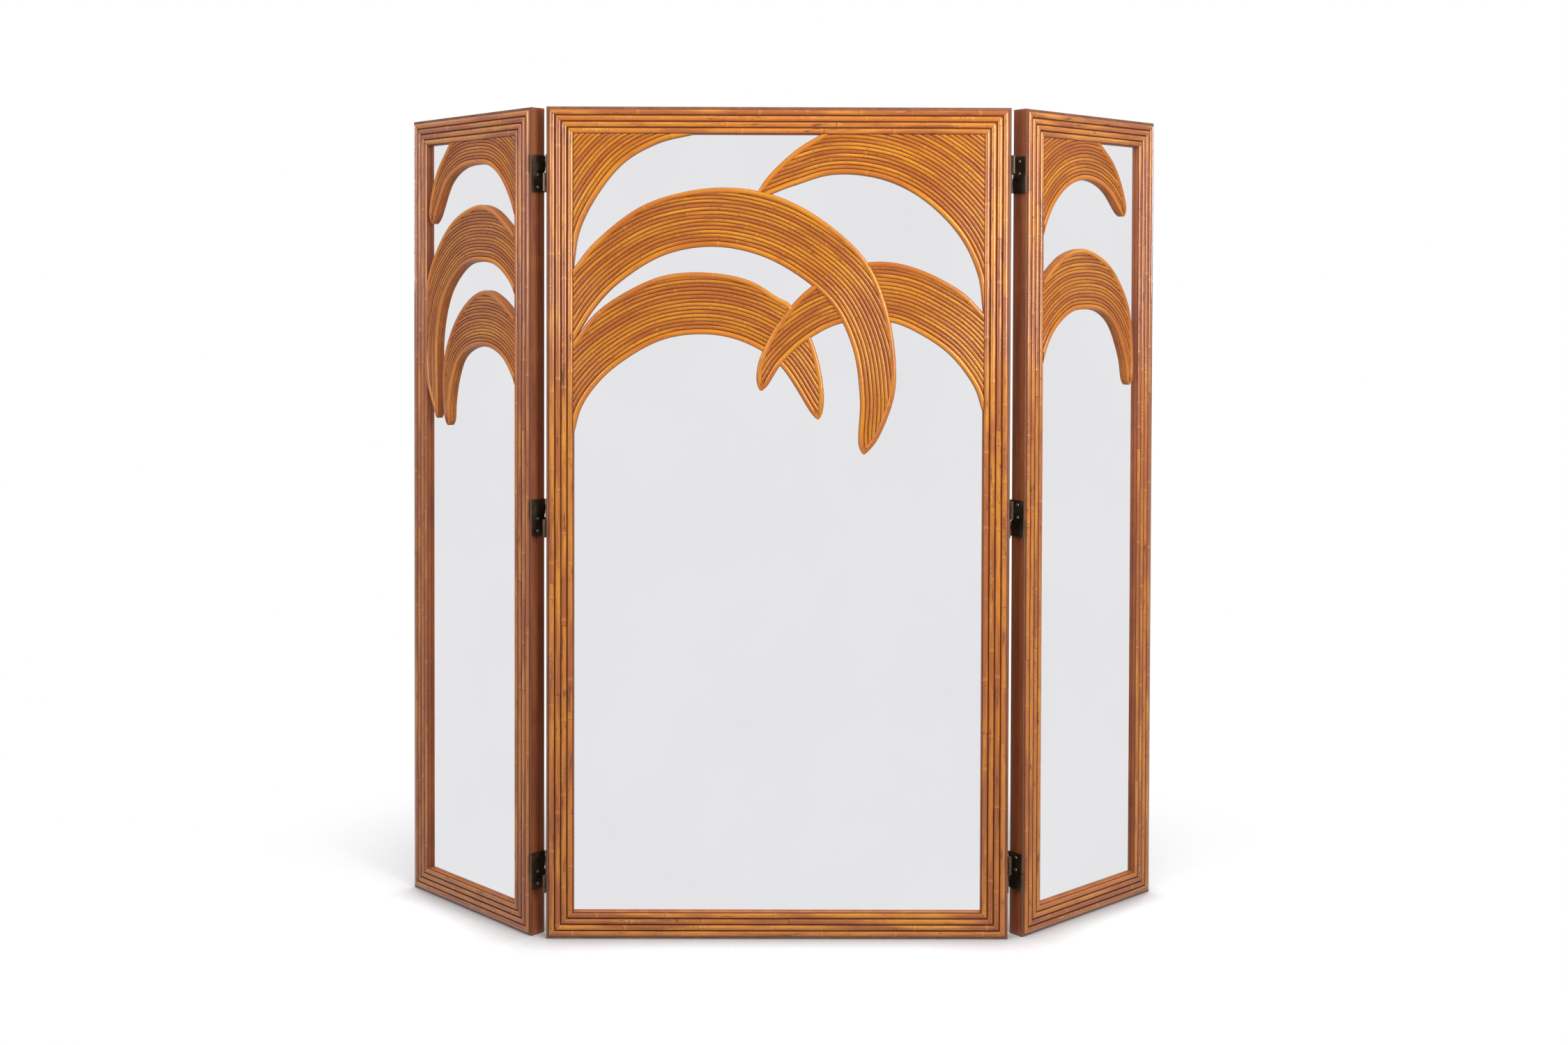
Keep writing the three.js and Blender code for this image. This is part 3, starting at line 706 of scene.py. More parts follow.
def placed_copies_tree():
    """One small shape on every point of a mesh, turned and sized by the points' attributes."""
    found = bpy.data.node_groups.get("Placed Copies")
    if found:
        return found
    tree, net, given, out = node_group("Placed Copies", "GeometryNodeTree", [
        GEOMETRY, ("Shape", "NodeSocketObject"), ("Finish", "NodeSocketMaterial"),
    ], [GEOMETRY])
    shape = net.node("GeometryNodeObjectInfo", {"Object": given["Shape"]})
    points = net.node("GeometryNodeMeshToPoints", {"Mesh": given["Geometry"]})
    turn = net.node("GeometryNodeInputNamedAttribute", {"Name": "turn"}, data_type="FLOAT")
    size = net.node("GeometryNodeInputNamedAttribute", {"Name": "size"},
                    data_type="FLOAT_VECTOR")
    copies = net.node("GeometryNodeInstanceOnPoints", {
        "Points": points.outputs[0], "Instance": shape.outputs["Geometry"],
        "Rotation": net.vector(0.0, 0.0, turn.outputs["Attribute"]),
        "Scale": size.outputs["Attribute"],
    })
    real = net.node("GeometryNodeRealizeInstances", {"Geometry": copies.outputs[0]})
    painted = net.node("GeometryNodeSetMaterial", {
        "Geometry": real.outputs[0], "Material": given["Finish"]})
    tree.links.new(painted.outputs[0], out["Geometry"])
    return tree


def grown(source_mesh, tree, values, name):
    """The plain mesh that a node tree makes from a source mesh. The source is removed."""
    source = linked(name, source_mesh)
    modifier = source.modifiers.new("Nodes", "NODES")
    modifier.node_group = tree
    for item in tree.interface.items_tree:
        if item.in_out == "INPUT" and item.name in values:
            modifier[item.identifier] = values[item.name]
    graph = bpy.context.evaluated_depsgraph_get()
    mesh = bpy.data.meshes.new_from_object(source.evaluated_get(graph))
    source.modifiers.remove(modifier)
    bpy.data.objects.remove(source)
    bpy.data.meshes.remove(source_mesh)
    if not mesh.polygons:
        raise RuntimeError(f"{name}: the node tree made no faces")
    return mesh


# ------------------------------------------------------------------ cane lines

NODE_SWELL = 0.045         # how much wider a cane is at a node
NODE_REACH = 5.0           # how far from a node the swelling fades
FAR_FROM_NODES = 99.0      # for a cane without nodes
FURTHEST_RING = 60         # distances to a node are carried no further than this
NODES_FROM_START, NODES_FROM_END = 10, 8
FURTHEST_START = 900


class CaneLines:
    """Centrelines of canes with what each point carries, in drawing millimetres."""

    def __init__(self, tone):
        self.points = []
        self.edges = []
        self.tone = tone
        self.carried = {"half_width": [], "tint": [], "along": [], "ring": [], "tone": []}

    def add(self, line, half_widths, tint, start, rings):
        """line is an n x 2 array; rings are the lengths along the cane where nodes sit."""
        steps = np.hypot(*np.diff(line, axis=0).T)
        along = start + np.concatenate([[0.0], np.cumsum(steps)])
        first = len(self.points)
        self.points += [(x, z, 0.0) for x, z in line]
        self.edges += [(first + k, first + k + 1) for k in range(len(line) - 1)]
        if rings:
            spots = np.asarray(rings)
            nearest = spots[np.abs(along[:, None] - spots[None, :]).argmin(1)]
            ring = along - nearest
        else:
            ring = np.full(len(line), FAR_FROM_NODES)
        swell = 1 + NODE_SWELL * np.exp(-(ring / NODE_REACH) ** 2)
        self.carried["half_width"] += list(np.broadcast_to(half_widths, len(line)) * swell)
        self.carried["tint"] += [tint] * len(line)
        # tone: the panel's share of painted sheen on its canes.
        self.carried["tone"] += [self.tone] * len(line)
        self.carried["along"] += list(along)
        self.carried["ring"] += list(np.clip(ring, -FURTHEST_RING, FURTHEST_RING))

    def mesh(self):
        mesh = bpy.data.meshes.new("cane_lines")
        mesh.from_pydata(self.points, self.edges, [])
        for name, values in self.carried.items():
            attribute = mesh.attributes.new(name, "FLOAT", "POINT")
            attribute.data.foreach_set("value", np.asarray(values, np.float32))
        return mesh

    def laid(self, name, rise, facets, material):
        """The mesh of the canes along these lines."""
        return grown(self.mesh(), laid_cane_tree(),
                     {"Rise": rise, "Facets": facets, "Finish": material}, name)


def node_rings(rng, start, end, spacing):
    """Where a cane's nodes sit along it, from the least and most distance between two."""
    spots, place = [], start + rng.uniform(NODES_FROM_START, spacing[1])
    while place < end - NODES_FROM_END:
        spots.append(place)
        place += rng.uniform(*spacing)
    return spots


def node_rings_within(rng, length, spacing):
    """A start somewhere in the cane's own pattern, and the nodes from there on."""
    start = rng.uniform(0, FURTHEST_START)
    return start, [start + ring for ring in node_rings(rng, 0, length, spacing)]


# ------------------------------------------------------------------ frame canes

SIDES = ("left", "right", "top", "bottom")
FRAME_CANE_FACETS = 8
CANE_GAP = 0.25               # between neighbouring rows
CANE_LENGTHS = (380, 1250)    # shortest and longest cane of a row
SHORTEST_END = 160            # a shorter remainder stays part of the cane before it
MITRE_OVERRUN = 12            # how far canes run past the mitre before they are cut
MITRE_GAP = 0.2               # from the mitre to the cut
STATION_STEP = 45.0           # between the points of a centreline
RING_STATIONS = (-9, -4, 0, 4, 9)   # extra points about a node
FRAME_NODES = (150, 330)      # least and most distance between two nodes
FRAME_SEED, BRAD_SEED = 11, 71


def side_length(side, width):
    """The length of one side of a frame, on a panel of that width."""
    return PANEL_HEIGHT if side in ("left", "right") else width


def row_middle(row):
    """How far in from the panel's edge a row of the frame's canes runs."""
    return EDGE_MARGIN + (row + 0.5) * CANE_PITCH


def frame_spot(side, width, along, across):
    """A point of the frame's face, from its place along one side and in from the panel's edge."""
    if side == "left":
        return (across - width / 2, along)
    if side == "right":
        return (width / 2 - across, along)
    if side == "top":
        return (along - width / 2, PANEL_HEIGHT - across)
    return (along - width / 2, across)


def mitre_planes(side, width):
    """The two planes that a side's canes are mitred at, a hair short of the corner."""
    probe = 10
    planes = []
    for along, ahead in ((0, -1), (side_length(side, width), 1)):
        corner = Vector((*frame_spot(side, width, along, 0), 0))
        inner = Vector((*frame_spot(side, width, along - ahead * probe, probe), 0))
        outward = Vector((*frame_spot(side, width, along + ahead * probe, 0), 0)) - corner
        line = (inner - corner).normalized()
        normal = (outward - outward.dot(line) * line).normalized()
        planes.append((corner - normal * MITRE_GAP, normal))
    return planes


def frame_side_lines(side, panel, rng):
    """The canes of one side of a panel's frame, in lengths that butt end to end."""
    lines = CaneLines(PANEL_SHEEN[panel])
    width = PANEL_WIDTHS[panel]
    for row in range(CANE_ROWS):
        across = row_middle(row)
        place = across - MITRE_OVERRUN
        end = side_length(side, width) - across + MITRE_OVERRUN
        while place < end - 1:
            reach = place + rng.uniform(*CANE_LENGTHS)
            if reach > end - SHORTEST_END:
                reach = end
            rings = node_rings(rng, place, reach, FRAME_NODES)
            stations = set(np.arange(place, reach, STATION_STEP)) | {reach}
            for ring in rings:
                stations |= {ring + shift for shift in RING_STATIONS
                             if place < ring + shift < reach}
            drift = rng.uniform(-0.12, 0.12)
            spots = np.array([frame_spot(side, width, station, across + drift)
                              for station in sorted(stations)])
            half = (CANE_PITCH - CANE_GAP) / 2 * rng.uniform(0.97, 1.0)
            lines.add(spots, half, rng.random(), place, rings)
            place = reach + rng.uniform(0.5, 1.1)
    return lines


BRADS_FROM_MITRE = (10, 18)   # least and most, as in the next two
FIRST_BRAD = (90, 240)        # from the mitre to the first of the scattered brads
BRAD_SPACING = (150, 330)
LAST_BRAD = 60                # no scattered brad sits closer to the far mitre


def frame_brads(width, rng):
    """Brad heads in a frame's canes: two close to the mitres of each row, the rest scattered."""
    spots = []
    for side in SIDES:
        length = side_length(side, width)
        for row in range(CANE_ROWS):
            across = row_middle(row)
            for end in (across + rng.uniform(*BRADS_FROM_MITRE),
                        length - across - rng.uniform(*BRADS_FROM_MITRE)):
                spots.append((side, end, across + rng.uniform(-2, 2)))
            place = across + rng.uniform(*FIRST_BRAD)
            while place < length - across - LAST_BRAD:
                spots.append((side, place, across + rng.uniform(-2.6, 2.6)))
                place += rng.uniform(*BRAD_SPACING)
    return [frame_spot(side, width, along, across) for side, along, across in spots]


class CANE_SCREEN_OT_frame_cane(bpy.types.Operator):
    """Lay the mitred split canes on the frame of every panel"""

    bl_idname = "cane_screen.frame_cane"
    bl_label = "Frame Cane"

    def execute(self, context):
        sizes = context.scene.screen_sizes
        rise = sizes.frame_cane_height / MM / (CANE_PITCH / 2)
        for order, (panel, width) in enumerate(PANEL_WIDTHS.items()):
            rng = random.Random(FRAME_SEED + order)
            sides = []
            for side in SIDES:
                mesh = frame_side_lines(side, panel, rng).laid(
                    f"{panel}_{side}", rise, FRAME_CANE_FACETS, frame_cane_material())
                sides.append(cut_mesh(mesh, mitre_planes(side, width)))
            whole = joined(sides)
            whole.transform(face_matrix(panel))
            finish_piece(whole, f"{panel}_frame_cane", panel,
                         [f"{panel}_cane_facing"])
        return {"FINISHED"}


# ------------------------------------------------------------------ fronds

DRAWING_STEP = 3.0            # between the points of a frond's drawn edges
CANE_STEP = 9.0               # between the points of a frond cane's centreline
FROND_CANE_FACETS = 6
BINDING_FACETS = 9
FROND_NODES, BINDING_NODES = (240, 620), (160, 320)   # least and most between two nodes
BINDING_FIT = 0.985           # share of its room that a binding cane fills
LAYER_DROP = 0.06             # each frond of a panel sits this much lower than the one before
BOARD_DROP = 0.02             # from the canes' backs to the board's face
TRIMMED_TIP = 6               # points of the inner edge that no cane follows
GUIDE_HEAD, GUIDE_TAIL = 90, 150   # how far canes are drawn on beyond the inner edge's ends
MOST_ROWS = 60
SHORTEST_CANE = 14
NARROWEST_BINDING = 0.5       # half its width, where it ends at the tip
BINDING_OVERRUN = 4           # steps that a binding runs on past the root
CANE_LAP, BINDING_LAP = 6.5, 4     # how far they reach beneath a frond in front
CANES_FROM_INNER, CANES_FROM_OUTER = 0.8, 0.45   # shares of the binding's width


def smooth_line(points, step):
    """Centripetal Catmull-Rom curve through the points, in even steps."""
    samples = 24
    spots = np.array(points, float)
    count = len(spots)
    traced = []
    for i in range(count - 1):
        p1, p2 = spots[i], spots[i + 1]
        p0 = spots[i - 1] if i > 0 else 2 * spots[0] - spots[1]
        p3 = spots[i + 2] if i + 2 < count else 2 * spots[-1] - spots[-2]
        d0, d1, d2 = (max(np.dot(b - a, b - a) ** 0.25, 1e-4)
                      for a, b in ((p0, p1), (p1, p2), (p2, p3)))
        t1 = ((p1 - p0) / d0 - (p2 - p0) / (d0 + d1) + (p2 - p1) / d1) * d1
        t2 = ((p2 - p1) / d1 - (p3 - p1) / (d1 + d2) + (p3 - p2) / d2) * d1
        c2, c3 = -3 * p1 + 3 * p2 - 2 * t1 - t2, 2 * p1 - 2 * p2 + t1 + t2
        for t in np.linspace(0, 1, samples, endpoint=False):
            traced.append(p1 + t1 * t + c2 * t * t + c3 * t ** 3)
    traced.append(spots[-1])
    return even_steps(np.array(traced), step)


def even_steps(line, step):
    lengths = np.concatenate([[0], np.cumsum(np.hypot(*np.diff(line, axis=0).T))])
    marks = np.linspace(0, lengths[-1], max(2, int(round(lengths[-1] / step))) + 1)
    return np.stack([np.interp(marks, lengths, line[:, k]) for k in (0, 1)], 1)


def left_normals(line):
    ahead = np.gradient(line, axis=0)
    ahead /= np.maximum(np.hypot(*ahead.T), 1e-9)[:, None]
    return np.stack([-ahead[:, 1], ahead[:, 0]], 1)


def distance_to(points, line):
    """How far each point is from a polyline."""
    start, step = line[:-1], np.diff(line, axis=0)
    away = points[:, None, :] - start[None]
    share = np.clip((away * step).sum(2) / np.maximum((step ** 2).sum(1), 1e-9), 0, 1)
    return np.sqrt((((away - share[..., None] * step) ** 2).sum(2)).min(1))


def inside(points, outline):
    """Whether each point lies inside a closed outline."""
    x, z = points[:, 0][:, None], points[:, 1][:, None]
    x0, z0 = outline[:, 0], outline[:, 1]
    x1, z1 = np.roll(x0, -1), np.roll(z0, -1)
    crosses = (z0 > z) != (z1 > z)
    where = x0 + (z - z0) * (x1 - x0) / np.where(z1 == z0, 1e-9, z1 - z0)
    return (crosses & (x < where)).sum(1) % 2 == 1


def clear_of(line, fronts, lap):
    """Which points are in the open, or no more than the lap beneath the edge of a front frond."""
    keep = np.ones(len(line), bool)
    for front in fronts:
        keep &= ~inside(line, front.outline) | (distance_to(line, front.outline) < lap)
    return keep


def unbroken(keep):
    """Where each unbroken run of kept points starts and stops."""
    cuts = np.flatnonzero(np.diff(np.concatenate([[0], keep.astype(int), [0]])))
    return zip(cuts[::2], cuts[1::2])


def run_on(end, before, distances):
    """Points straight on from the end of a line, away from an earlier point of it."""
    ahead = end - before
    return end + ahead / np.hypot(*ahead) * distances[:, None]


def signed_area(outline):
    x, z = outline[:, 0], outline[:, 1]
    return 0.5 * float((x * np.roll(z, -1) - np.roll(x, -1) * z).sum())


class Frond:
    """One frond's edges and outline, drawn on a panel in millimetres."""

    def __init__(self, panel, side, inner, outer):
        width = PANEL_WIDTHS[panel]
        sideways = 1 if side == "left" else -1
        root_x = -sideways * (width / 2 - FRAME_FACE)
        opening = width - 2 * FRAME_FACE
        drawn = [(root_x + sideways * opening * a / 100, OPENING_TOP - DROPS[panel] * b / 100)
                 for a, b in list(inner) + list(outer)]
        line = smooth_line(drawn, DRAWING_STEP)
        tucked_x = drawn[0][0] - sideways * FRAME_FACE / 2
        tucked_z = PANEL_HEIGHT - FRAME_FACE / 2
        if abs(drawn[-1][1] - OPENING_TOP) < 1e-6:
            closing = [(drawn[-1][0], tucked_z), (tucked_x, tucked_z), (tucked_x, line[0][1])]
        else:
            closing = [(tucked_x, line[-1][1]), (tucked_x, line[0][1])]
        self.outline = np.vstack([line, closing])
        self.inward = 1 if signed_area(self.outline) > 0 else -1
        if outer:
            tip = int(np.hypot(*(line - drawn[len(inner) - 1]).T).argmin())
            self.inner, self.outer = line[:tip + 1], line[tip:]
        else:
            self.inner, self.outer = line, None

    def inset(self, line, distance):
        return line + left_normals(line) * self.inward * np.reshape(distance, (-1, 1))

    def cane_lines(self, pitch, binding_width, fronts):
        """The canes on the board, parallel to the inner edge, as (row, line) runs."""
        guide = self.inner[:-TRIMMED_TIP] if self.outer is not None else self.inner
        # The guide runs straight on past both ends, so that canes fill the root and the tip.
        guide = np.vstack([
            run_on(guide[0], guide[4], np.arange(GUIDE_HEAD, 0, -DRAWING_STEP)),
            guide,
            run_on(guide[-1], guide[-9], np.arange(DRAWING_STEP, GUIDE_TAIL, DRAWING_STEP)),
        ])
        runs, row = [], 0
        while True:
            line = self.inset(guide, binding_width + (row + 0.5) * pitch)
            keep = inside(line, self.outline)
            if not keep.any() or row > MOST_ROWS:
                return runs
            if self.outer is not None:
                keep &= distance_to(line, self.outer) > binding_width * CANES_FROM_OUTER
            keep &= distance_to(line, self.inner) > binding_width * CANES_FROM_INNER
            keep &= clear_of(line, fronts, CANE_LAP)
            for start, stop in unbroken(keep):
                if (stop - start) * DRAWING_STEP > SHORTEST_CANE:
                    runs.append((row, line[start:stop]))
            row += 1

    def binding_lines(self, binding_width, fronts):
        """The binding canes along the edges, as (line, half widths) runs.

        The inner and the outer one narrow where they meet at the tip.
        """
        runs = []
        edges = [(self.inner, self.outer)]
        if self.outer is not None:
            edges.append((self.outer, self.inner))
        for edge, other in edges:
            head = edge[0] - edge[1]
            tail = edge[-1] - edge[-2]
            at_root = edge is self.inner
            half = np.full(len(edge), binding_width / 2)
            if other is not None:
                half = np.minimum(half, distance_to(edge, other) / 4 + 0.25)
            line = self.inset(edge, half)
            if at_root or other is None:
                line = np.vstack([line[0] + head * BINDING_OVERRUN, line])
                half = np.concatenate([half[:1], half])
            if not at_root or other is None:
                line = np.vstack([line, line[-1] + tail * BINDING_OVERRUN])
                half = np.concatenate([half, half[-1:]])
            keep = (half > NARROWEST_BINDING) & clear_of(line, fronts, BINDING_LAP)
            for start, stop in unbroken(keep):
                if stop - start > 3:
                    runs.append((line[start:stop], half[start:stop]))
        return runs

    def board(self, drop):
        """The plywood body, in drawing millimetres with its back at height 0."""
        shape = bmesh.new()
        points = self.outline if self.inward > 0 else self.outline[::-1]
        low = [shape.verts.new((x, z, 0)) for x, z in points]
        high = [shape.verts.new((x, z, FROND_BOARD - drop)) for x, z in points]
        shape.faces.new(high)
        shape.faces.new(low[::-1])
        for k in range(len(points)):
            after = (k + 1) % len(points)
            shape.faces.new((low[k], low[after], high[after], high[k]))
        return mesh_from(shape, "board")


def opening_planes(panel):
    """The four sides of a panel's opening, as cut_mesh takes them."""
    half = PANEL_WIDTHS[panel] / 2 - FRAME_FACE
    sides = (((half, 0, 0), (1, 0, 0)), ((-half, 0, 0), (-1, 0, 0)),
             ((0, OPENING_TOP, 0), (0, 1, 0)), ((0, FRAME_FACE, 0), (0, -1, 0)))
    return [(Vector(point), Vector(normal)) for point, normal in sides]


def copies_mesh(spots, shape, material, name):
    """Copies of a shape at (x, z, height, turn, (size x, y, z))."""
    mesh = bpy.data.meshes.new("spots")
    mesh.from_pydata([spot[:3] for spot in spots], [], [])
    turn = mesh.attributes.new("turn", "FLOAT", "POINT")
    turn.data.foreach_set("value", np.array([spot[3] for spot in spots], np.float32))
    size = mesh.attributes.new("size", "FLOAT_VECTOR", "POINT")
    size.data.foreach_set("vector", np.array([spot[4] for spot in spots], np.float32).ravel())
    return grown(mesh, placed_copies_tree(), {"Shape": shape, "Finish": material}, name)


def pip_shape():
    """A small rounded head, one unit across and one high, for brads and staples."""
    shape = bmesh.new()
    sides = 8
    rings = [(0.5, 0.0), (0.46, 0.45), (0.28, 0.85)]     # radius and height
    angles = [math.tau * k / sides for k in range(sides)]
    loops = [[shape.verts.new((r * math.cos(a), r * math.sin(a), h)) for a in angles]
             for r, h in rings]
    for low, high in zip(loops, loops[1:]):
        for k in range(sides):
            after = (k + 1) % sides
            shape.faces.new((low[k], low[after], high[after], high[k]))
    top = shape.verts.new((0, 0, 1))
    for k in range(sides):
        shape.faces.new((loops[-1][k], loops[-1][(k + 1) % sides], top))
    shape.faces.new(loops[0][::-1])
    for face in shape.faces:
        face.smooth = True
    return bpy.data.objects.new("pip", mesh_from(shape, "pip"))


END_STAPLES = 7.0             # from a cane's end to the staple near it
STAPLED_ENDS = 30             # a shorter cane has none there
STAPLE_SPACING = 58
ROW_SHIFT = 12                # how far the staples of the next row are moved along
STAPLE_MARGINS = (16, 12)     # from a cane's start and end to the staples between
STAPLE_WIDTH, STAPLE_RISE = 0.95, 0.4
STAPLE_SINK = 0.15            # how deep a staple is driven into the cane's crest


def staple_spots(line, row, height, size, rng):
    """Staples across one frond cane: diagonal rows, and one near each of its ends."""
    steps = np.hypot(*np.diff(line, axis=0).T)
    along = np.concatenate([[0], np.cumsum(steps)])
    total = along[-1]
    marks = [END_STAPLES, total - END_STAPLES] if total > STAPLED_ENDS else []
    first = STAPLE_MARGINS[0] + (row * ROW_SHIFT) % STAPLE_SPACING
    marks += list(np.arange(first, total - STAPLE_MARGINS[1], STAPLE_SPACING))
    spots = []
    for mark in marks:
        mark += rng.uniform(-1.2, 1.2)
        x, z = (float(np.interp(mark, along, line[:, k])) for k in (0, 1))
        x2, z2 = (float(np.interp(mark + 2, along, line[:, k])) for k in (0, 1))
        turn = math.atan2(z2 - z, x2 - x) + rng.uniform(0.1, 0.6)
        spots.append((x, z, height, turn,
                      (size * rng.uniform(0.8, 1.15), STAPLE_WIDTH, STAPLE_RISE)))
    return spots


def within_opening(panel, spot, margin=2.0):
    half = PANEL_WIDTHS[panel] / 2 - FRAME_FACE - margin
    return abs(spot[0]) < half and spot[1] < OPENING_TOP - margin


def frond_canes(frond, panel, fronts, sizes, rng):
    """The laid canes of one frond, and the spots of their staples."""
    pitch = sizes.frond_cane_pitch / MM * PITCH_SHARES[panel]
    crest = sizes.frond_cane_height / MM
    canes, staples = CaneLines(PANEL_SHEEN[panel]), []
    for row, run in frond.cane_lines(pitch, sizes.binding_width / MM, fronts):
        line = even_steps(run, CANE_STEP) if len(run) > 3 else run
        half = pitch / 2 * rng.uniform(0.95, 0.985)
        start, rings = node_rings_within(rng, len(line) * CANE_STEP, FROND_NODES)
        canes.add(line, half, rng.random(), start, rings)
        staples += staple_spots(line, row, crest - STAPLE_SINK, sizes.staple_length / MM, rng)
    mesh = canes.laid("frond_canes", crest / pitch * 2, FROND_CANE_FACETS, frond_cane_material())
    return mesh, [spot for spot in staples if within_opening(panel, spot)]


def frond_binding(frond, panel, fronts, sizes, rng):
    """The stout canes along the edges of one frond."""
    binding = CaneLines(PANEL_SHEEN[panel])
    for run, half in frond.binding_lines(sizes.binding_width / MM, fronts):
        keep = np.unique(np.append(np.arange(0, len(run), 2), len(run) - 1))
        start, rings = node_rings_within(rng, len(run) * DRAWING_STEP, BINDING_NODES)
        binding.add(run[keep], half[keep] * BINDING_FIT, rng.random(), start, rings)
    rise = sizes.binding_height / sizes.binding_width * 2
    return binding.laid("frond_binding", rise, BINDING_FACETS, binding_cane_material())


class CANE_SCREEN_OT_fronds(bpy.types.Operator):
    """Build the arched fronds: boards, laid canes, binding canes and staples"""

    bl_idname = "cane_screen.fronds"
    bl_label = "Palm Fronds"

    def execute(self, context):
        sizes = context.scene.screen_sizes
        pip = pip_shape()
        for panel, group in FRONDS.items():
            fronts = []
            on_panel = face_matrix(panel, FROND_BACK)
            for order, (name, (side, inner, outer)) in enumerate(group.items()):
                rng = random.Random(f"{panel}{name}")
                frond = Frond(panel, side, inner, outer)
                drop = LAYER_DROP * order
                on_board = on_panel @ Matrix.Translation((0, 0, FROND_BOARD - drop))
                label = f"{panel}_frond_{name}"
                replaced = [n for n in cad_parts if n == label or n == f"{label}_tip"]

                canes, staples = frond_canes(frond, panel, fronts, sizes, rng)
                binding = frond_binding(frond, panel, fronts, sizes, rng)
                board = frond.board(drop + BOARD_DROP)
                board.materials.append(strip_material())
                for mesh, piece, place in ((canes, "canes", on_board),
                                           (binding, "binding", on_board),
                                           (board, "board", on_panel)):
                    cut_mesh(mesh, opening_planes(panel))
                    mesh.transform(place)
                    finish_piece(mesh, f"{label}_{piece}", panel,
                                 replaced if piece == "canes" else ())
                if staples:
                    pins = copies_mesh(staples, pip, brad_material(), f"{label}_staples")
                    pins.transform(on_board)
                    finish_piece(pins, f"{label}_staples", panel)
                fronts.append(frond)
        bpy.data.objects.remove(pip)
        return {"FINISHED"}


# ------------------------------------------------------------------ strips, brads and screws

LINING_THICKNESS = 0.9
LINING_FRONT = 1.2            # how far the lining stands out before the core
MARGIN_INSET = 0.35           # from the core's outer faces
MARGIN_THICKNESS = 0.45
MARGIN_TUCK = 0.6             # how far the margin reaches beneath the canes


def box_mesh(low, high, material):
    """A strip with broken edges, between two opposite corners."""
    shape = bmesh.new()
    bmesh.ops.create_cube(shape, size=1.0)
    for vert in shape.verts:
        vert.co = Vector([low[k] + (vert.co[k] + 0.5) * (high[k] - low[k]) for k in range(3)])
    bmesh.ops.bevel(shape, geom=list(shape.edges), offset=0.25, segments=1, affect="EDGES")
    mesh = mesh_from(shape, "strip")
    mesh.materials.append(material)
    return mesh


class CANE_SCREEN_OT_side_strips(bpy.types.Operator):
    """Line the inner edges of the three openings with smooth strips of cane"""

    bl_idname = "cane_screen.side_strips"
    bl_label = "Side Strips"

    def execute(self, context):
        thick, back, front = LINING_THICKNESS, FROND_BACK, LINING_FRONT
        foot, top = FRAME_FACE, OPENING_TOP
        for panel, width in PANEL_WIDTHS.items():
            half, lining = width / 2 - FRAME_FACE, shaded_lining_material()
            # Painted light and shade: the sides and top take the darker lining wood as painted
            # shade, the foot the lighter strip wood as painted light.
            whole = joined([
                box_mesh((-half, foot, back), (-half + thick, top, front), lining),
                box_mesh((half - thick, foot, back), (half, top, front), lining),
                box_mesh((-half, top - thick, back), (half, top, front), lining),
                box_mesh((-half, foot, back), (half, foot + thick, front), strip_material()),
            ])
            whole.transform(face_matrix(panel))
            finish_piece(whole, f"{panel}_side_strips", panel)
        return {"FINISHED"}


class CANE_SCREEN_OT_bare_margin(bpy.types.Operator):
    """Finish the bare strip of core that shows outside the cane of every panel"""

    bl_idname = "cane_screen.bare_margin"
    bl_label = "Bare Margin"

    def execute(self, context):
        reach, front, wood = EDGE_MARGIN + MARGIN_TUCK, MARGIN_THICKNESS, margin_material()
        foot, top = MARGIN_INSET, PANEL_HEIGHT - MARGIN_INSET
        for panel, width in PANEL_WIDTHS.items():
            half, inner = width / 2 - MARGIN_INSET, width / 2 - reach
            whole = joined([
                box_mesh((-half, foot, 0), (-inner, top, front), wood),
                box_mesh((inner, foot, 0), (half, top, front), wood),
                box_mesh((-inner, PANEL_HEIGHT - reach, 0), (inner, top, front), wood),
                box_mesh((-inner, foot, 0), (inner, reach, front), wood),
            ])
            whole.transform(face_matrix(panel))
            finish_piece(whole, f"{panel}_bare_margin", panel)
        return {"FINISHED"}


BRAD_RISE = 0.75


class CANE_SCREEN_OT_brads(bpy.types.Operator):
    """Set the brads that hold the frame's canes"""

    bl_idname = "cane_screen.brads"
    bl_label = "Brads"

    def execute(self, context):
        sizes = context.scene.screen_sizes
        pip = pip_shape()
        size = sizes.brad_width / MM
        height = sizes.frame_cane_height / MM - BRAD_RISE
        for order, (panel, width) in enumerate(PANEL_WIDTHS.items()):
            rng = random.Random(BRAD_SEED + order)
            spots = [(x, z, height, rng.uniform(0, math.tau),
                      (size * rng.uniform(0.8, 1.1), size * rng.uniform(0.8, 1.1), BRAD_RISE))
                     for x, z in frame_brads(width, rng)]
            mesh = copies_mesh(spots, pip, brad_material(), f"{panel}_brads")
            mesh.transform(face_matrix(panel))
            finish_piece(mesh, f"{panel}_brads", panel)
        bpy.data.objects.remove(pip)
        return {"FINISHED"}


SCREW_SIDES = 24
SCREW_RISE = 0.8
SCREW_TAPER = 0.86            # of the head's width, at its top
HALF_SLOT = 0.55
SLOT_DEPTH = 0.45
SCREW_SEED = 5


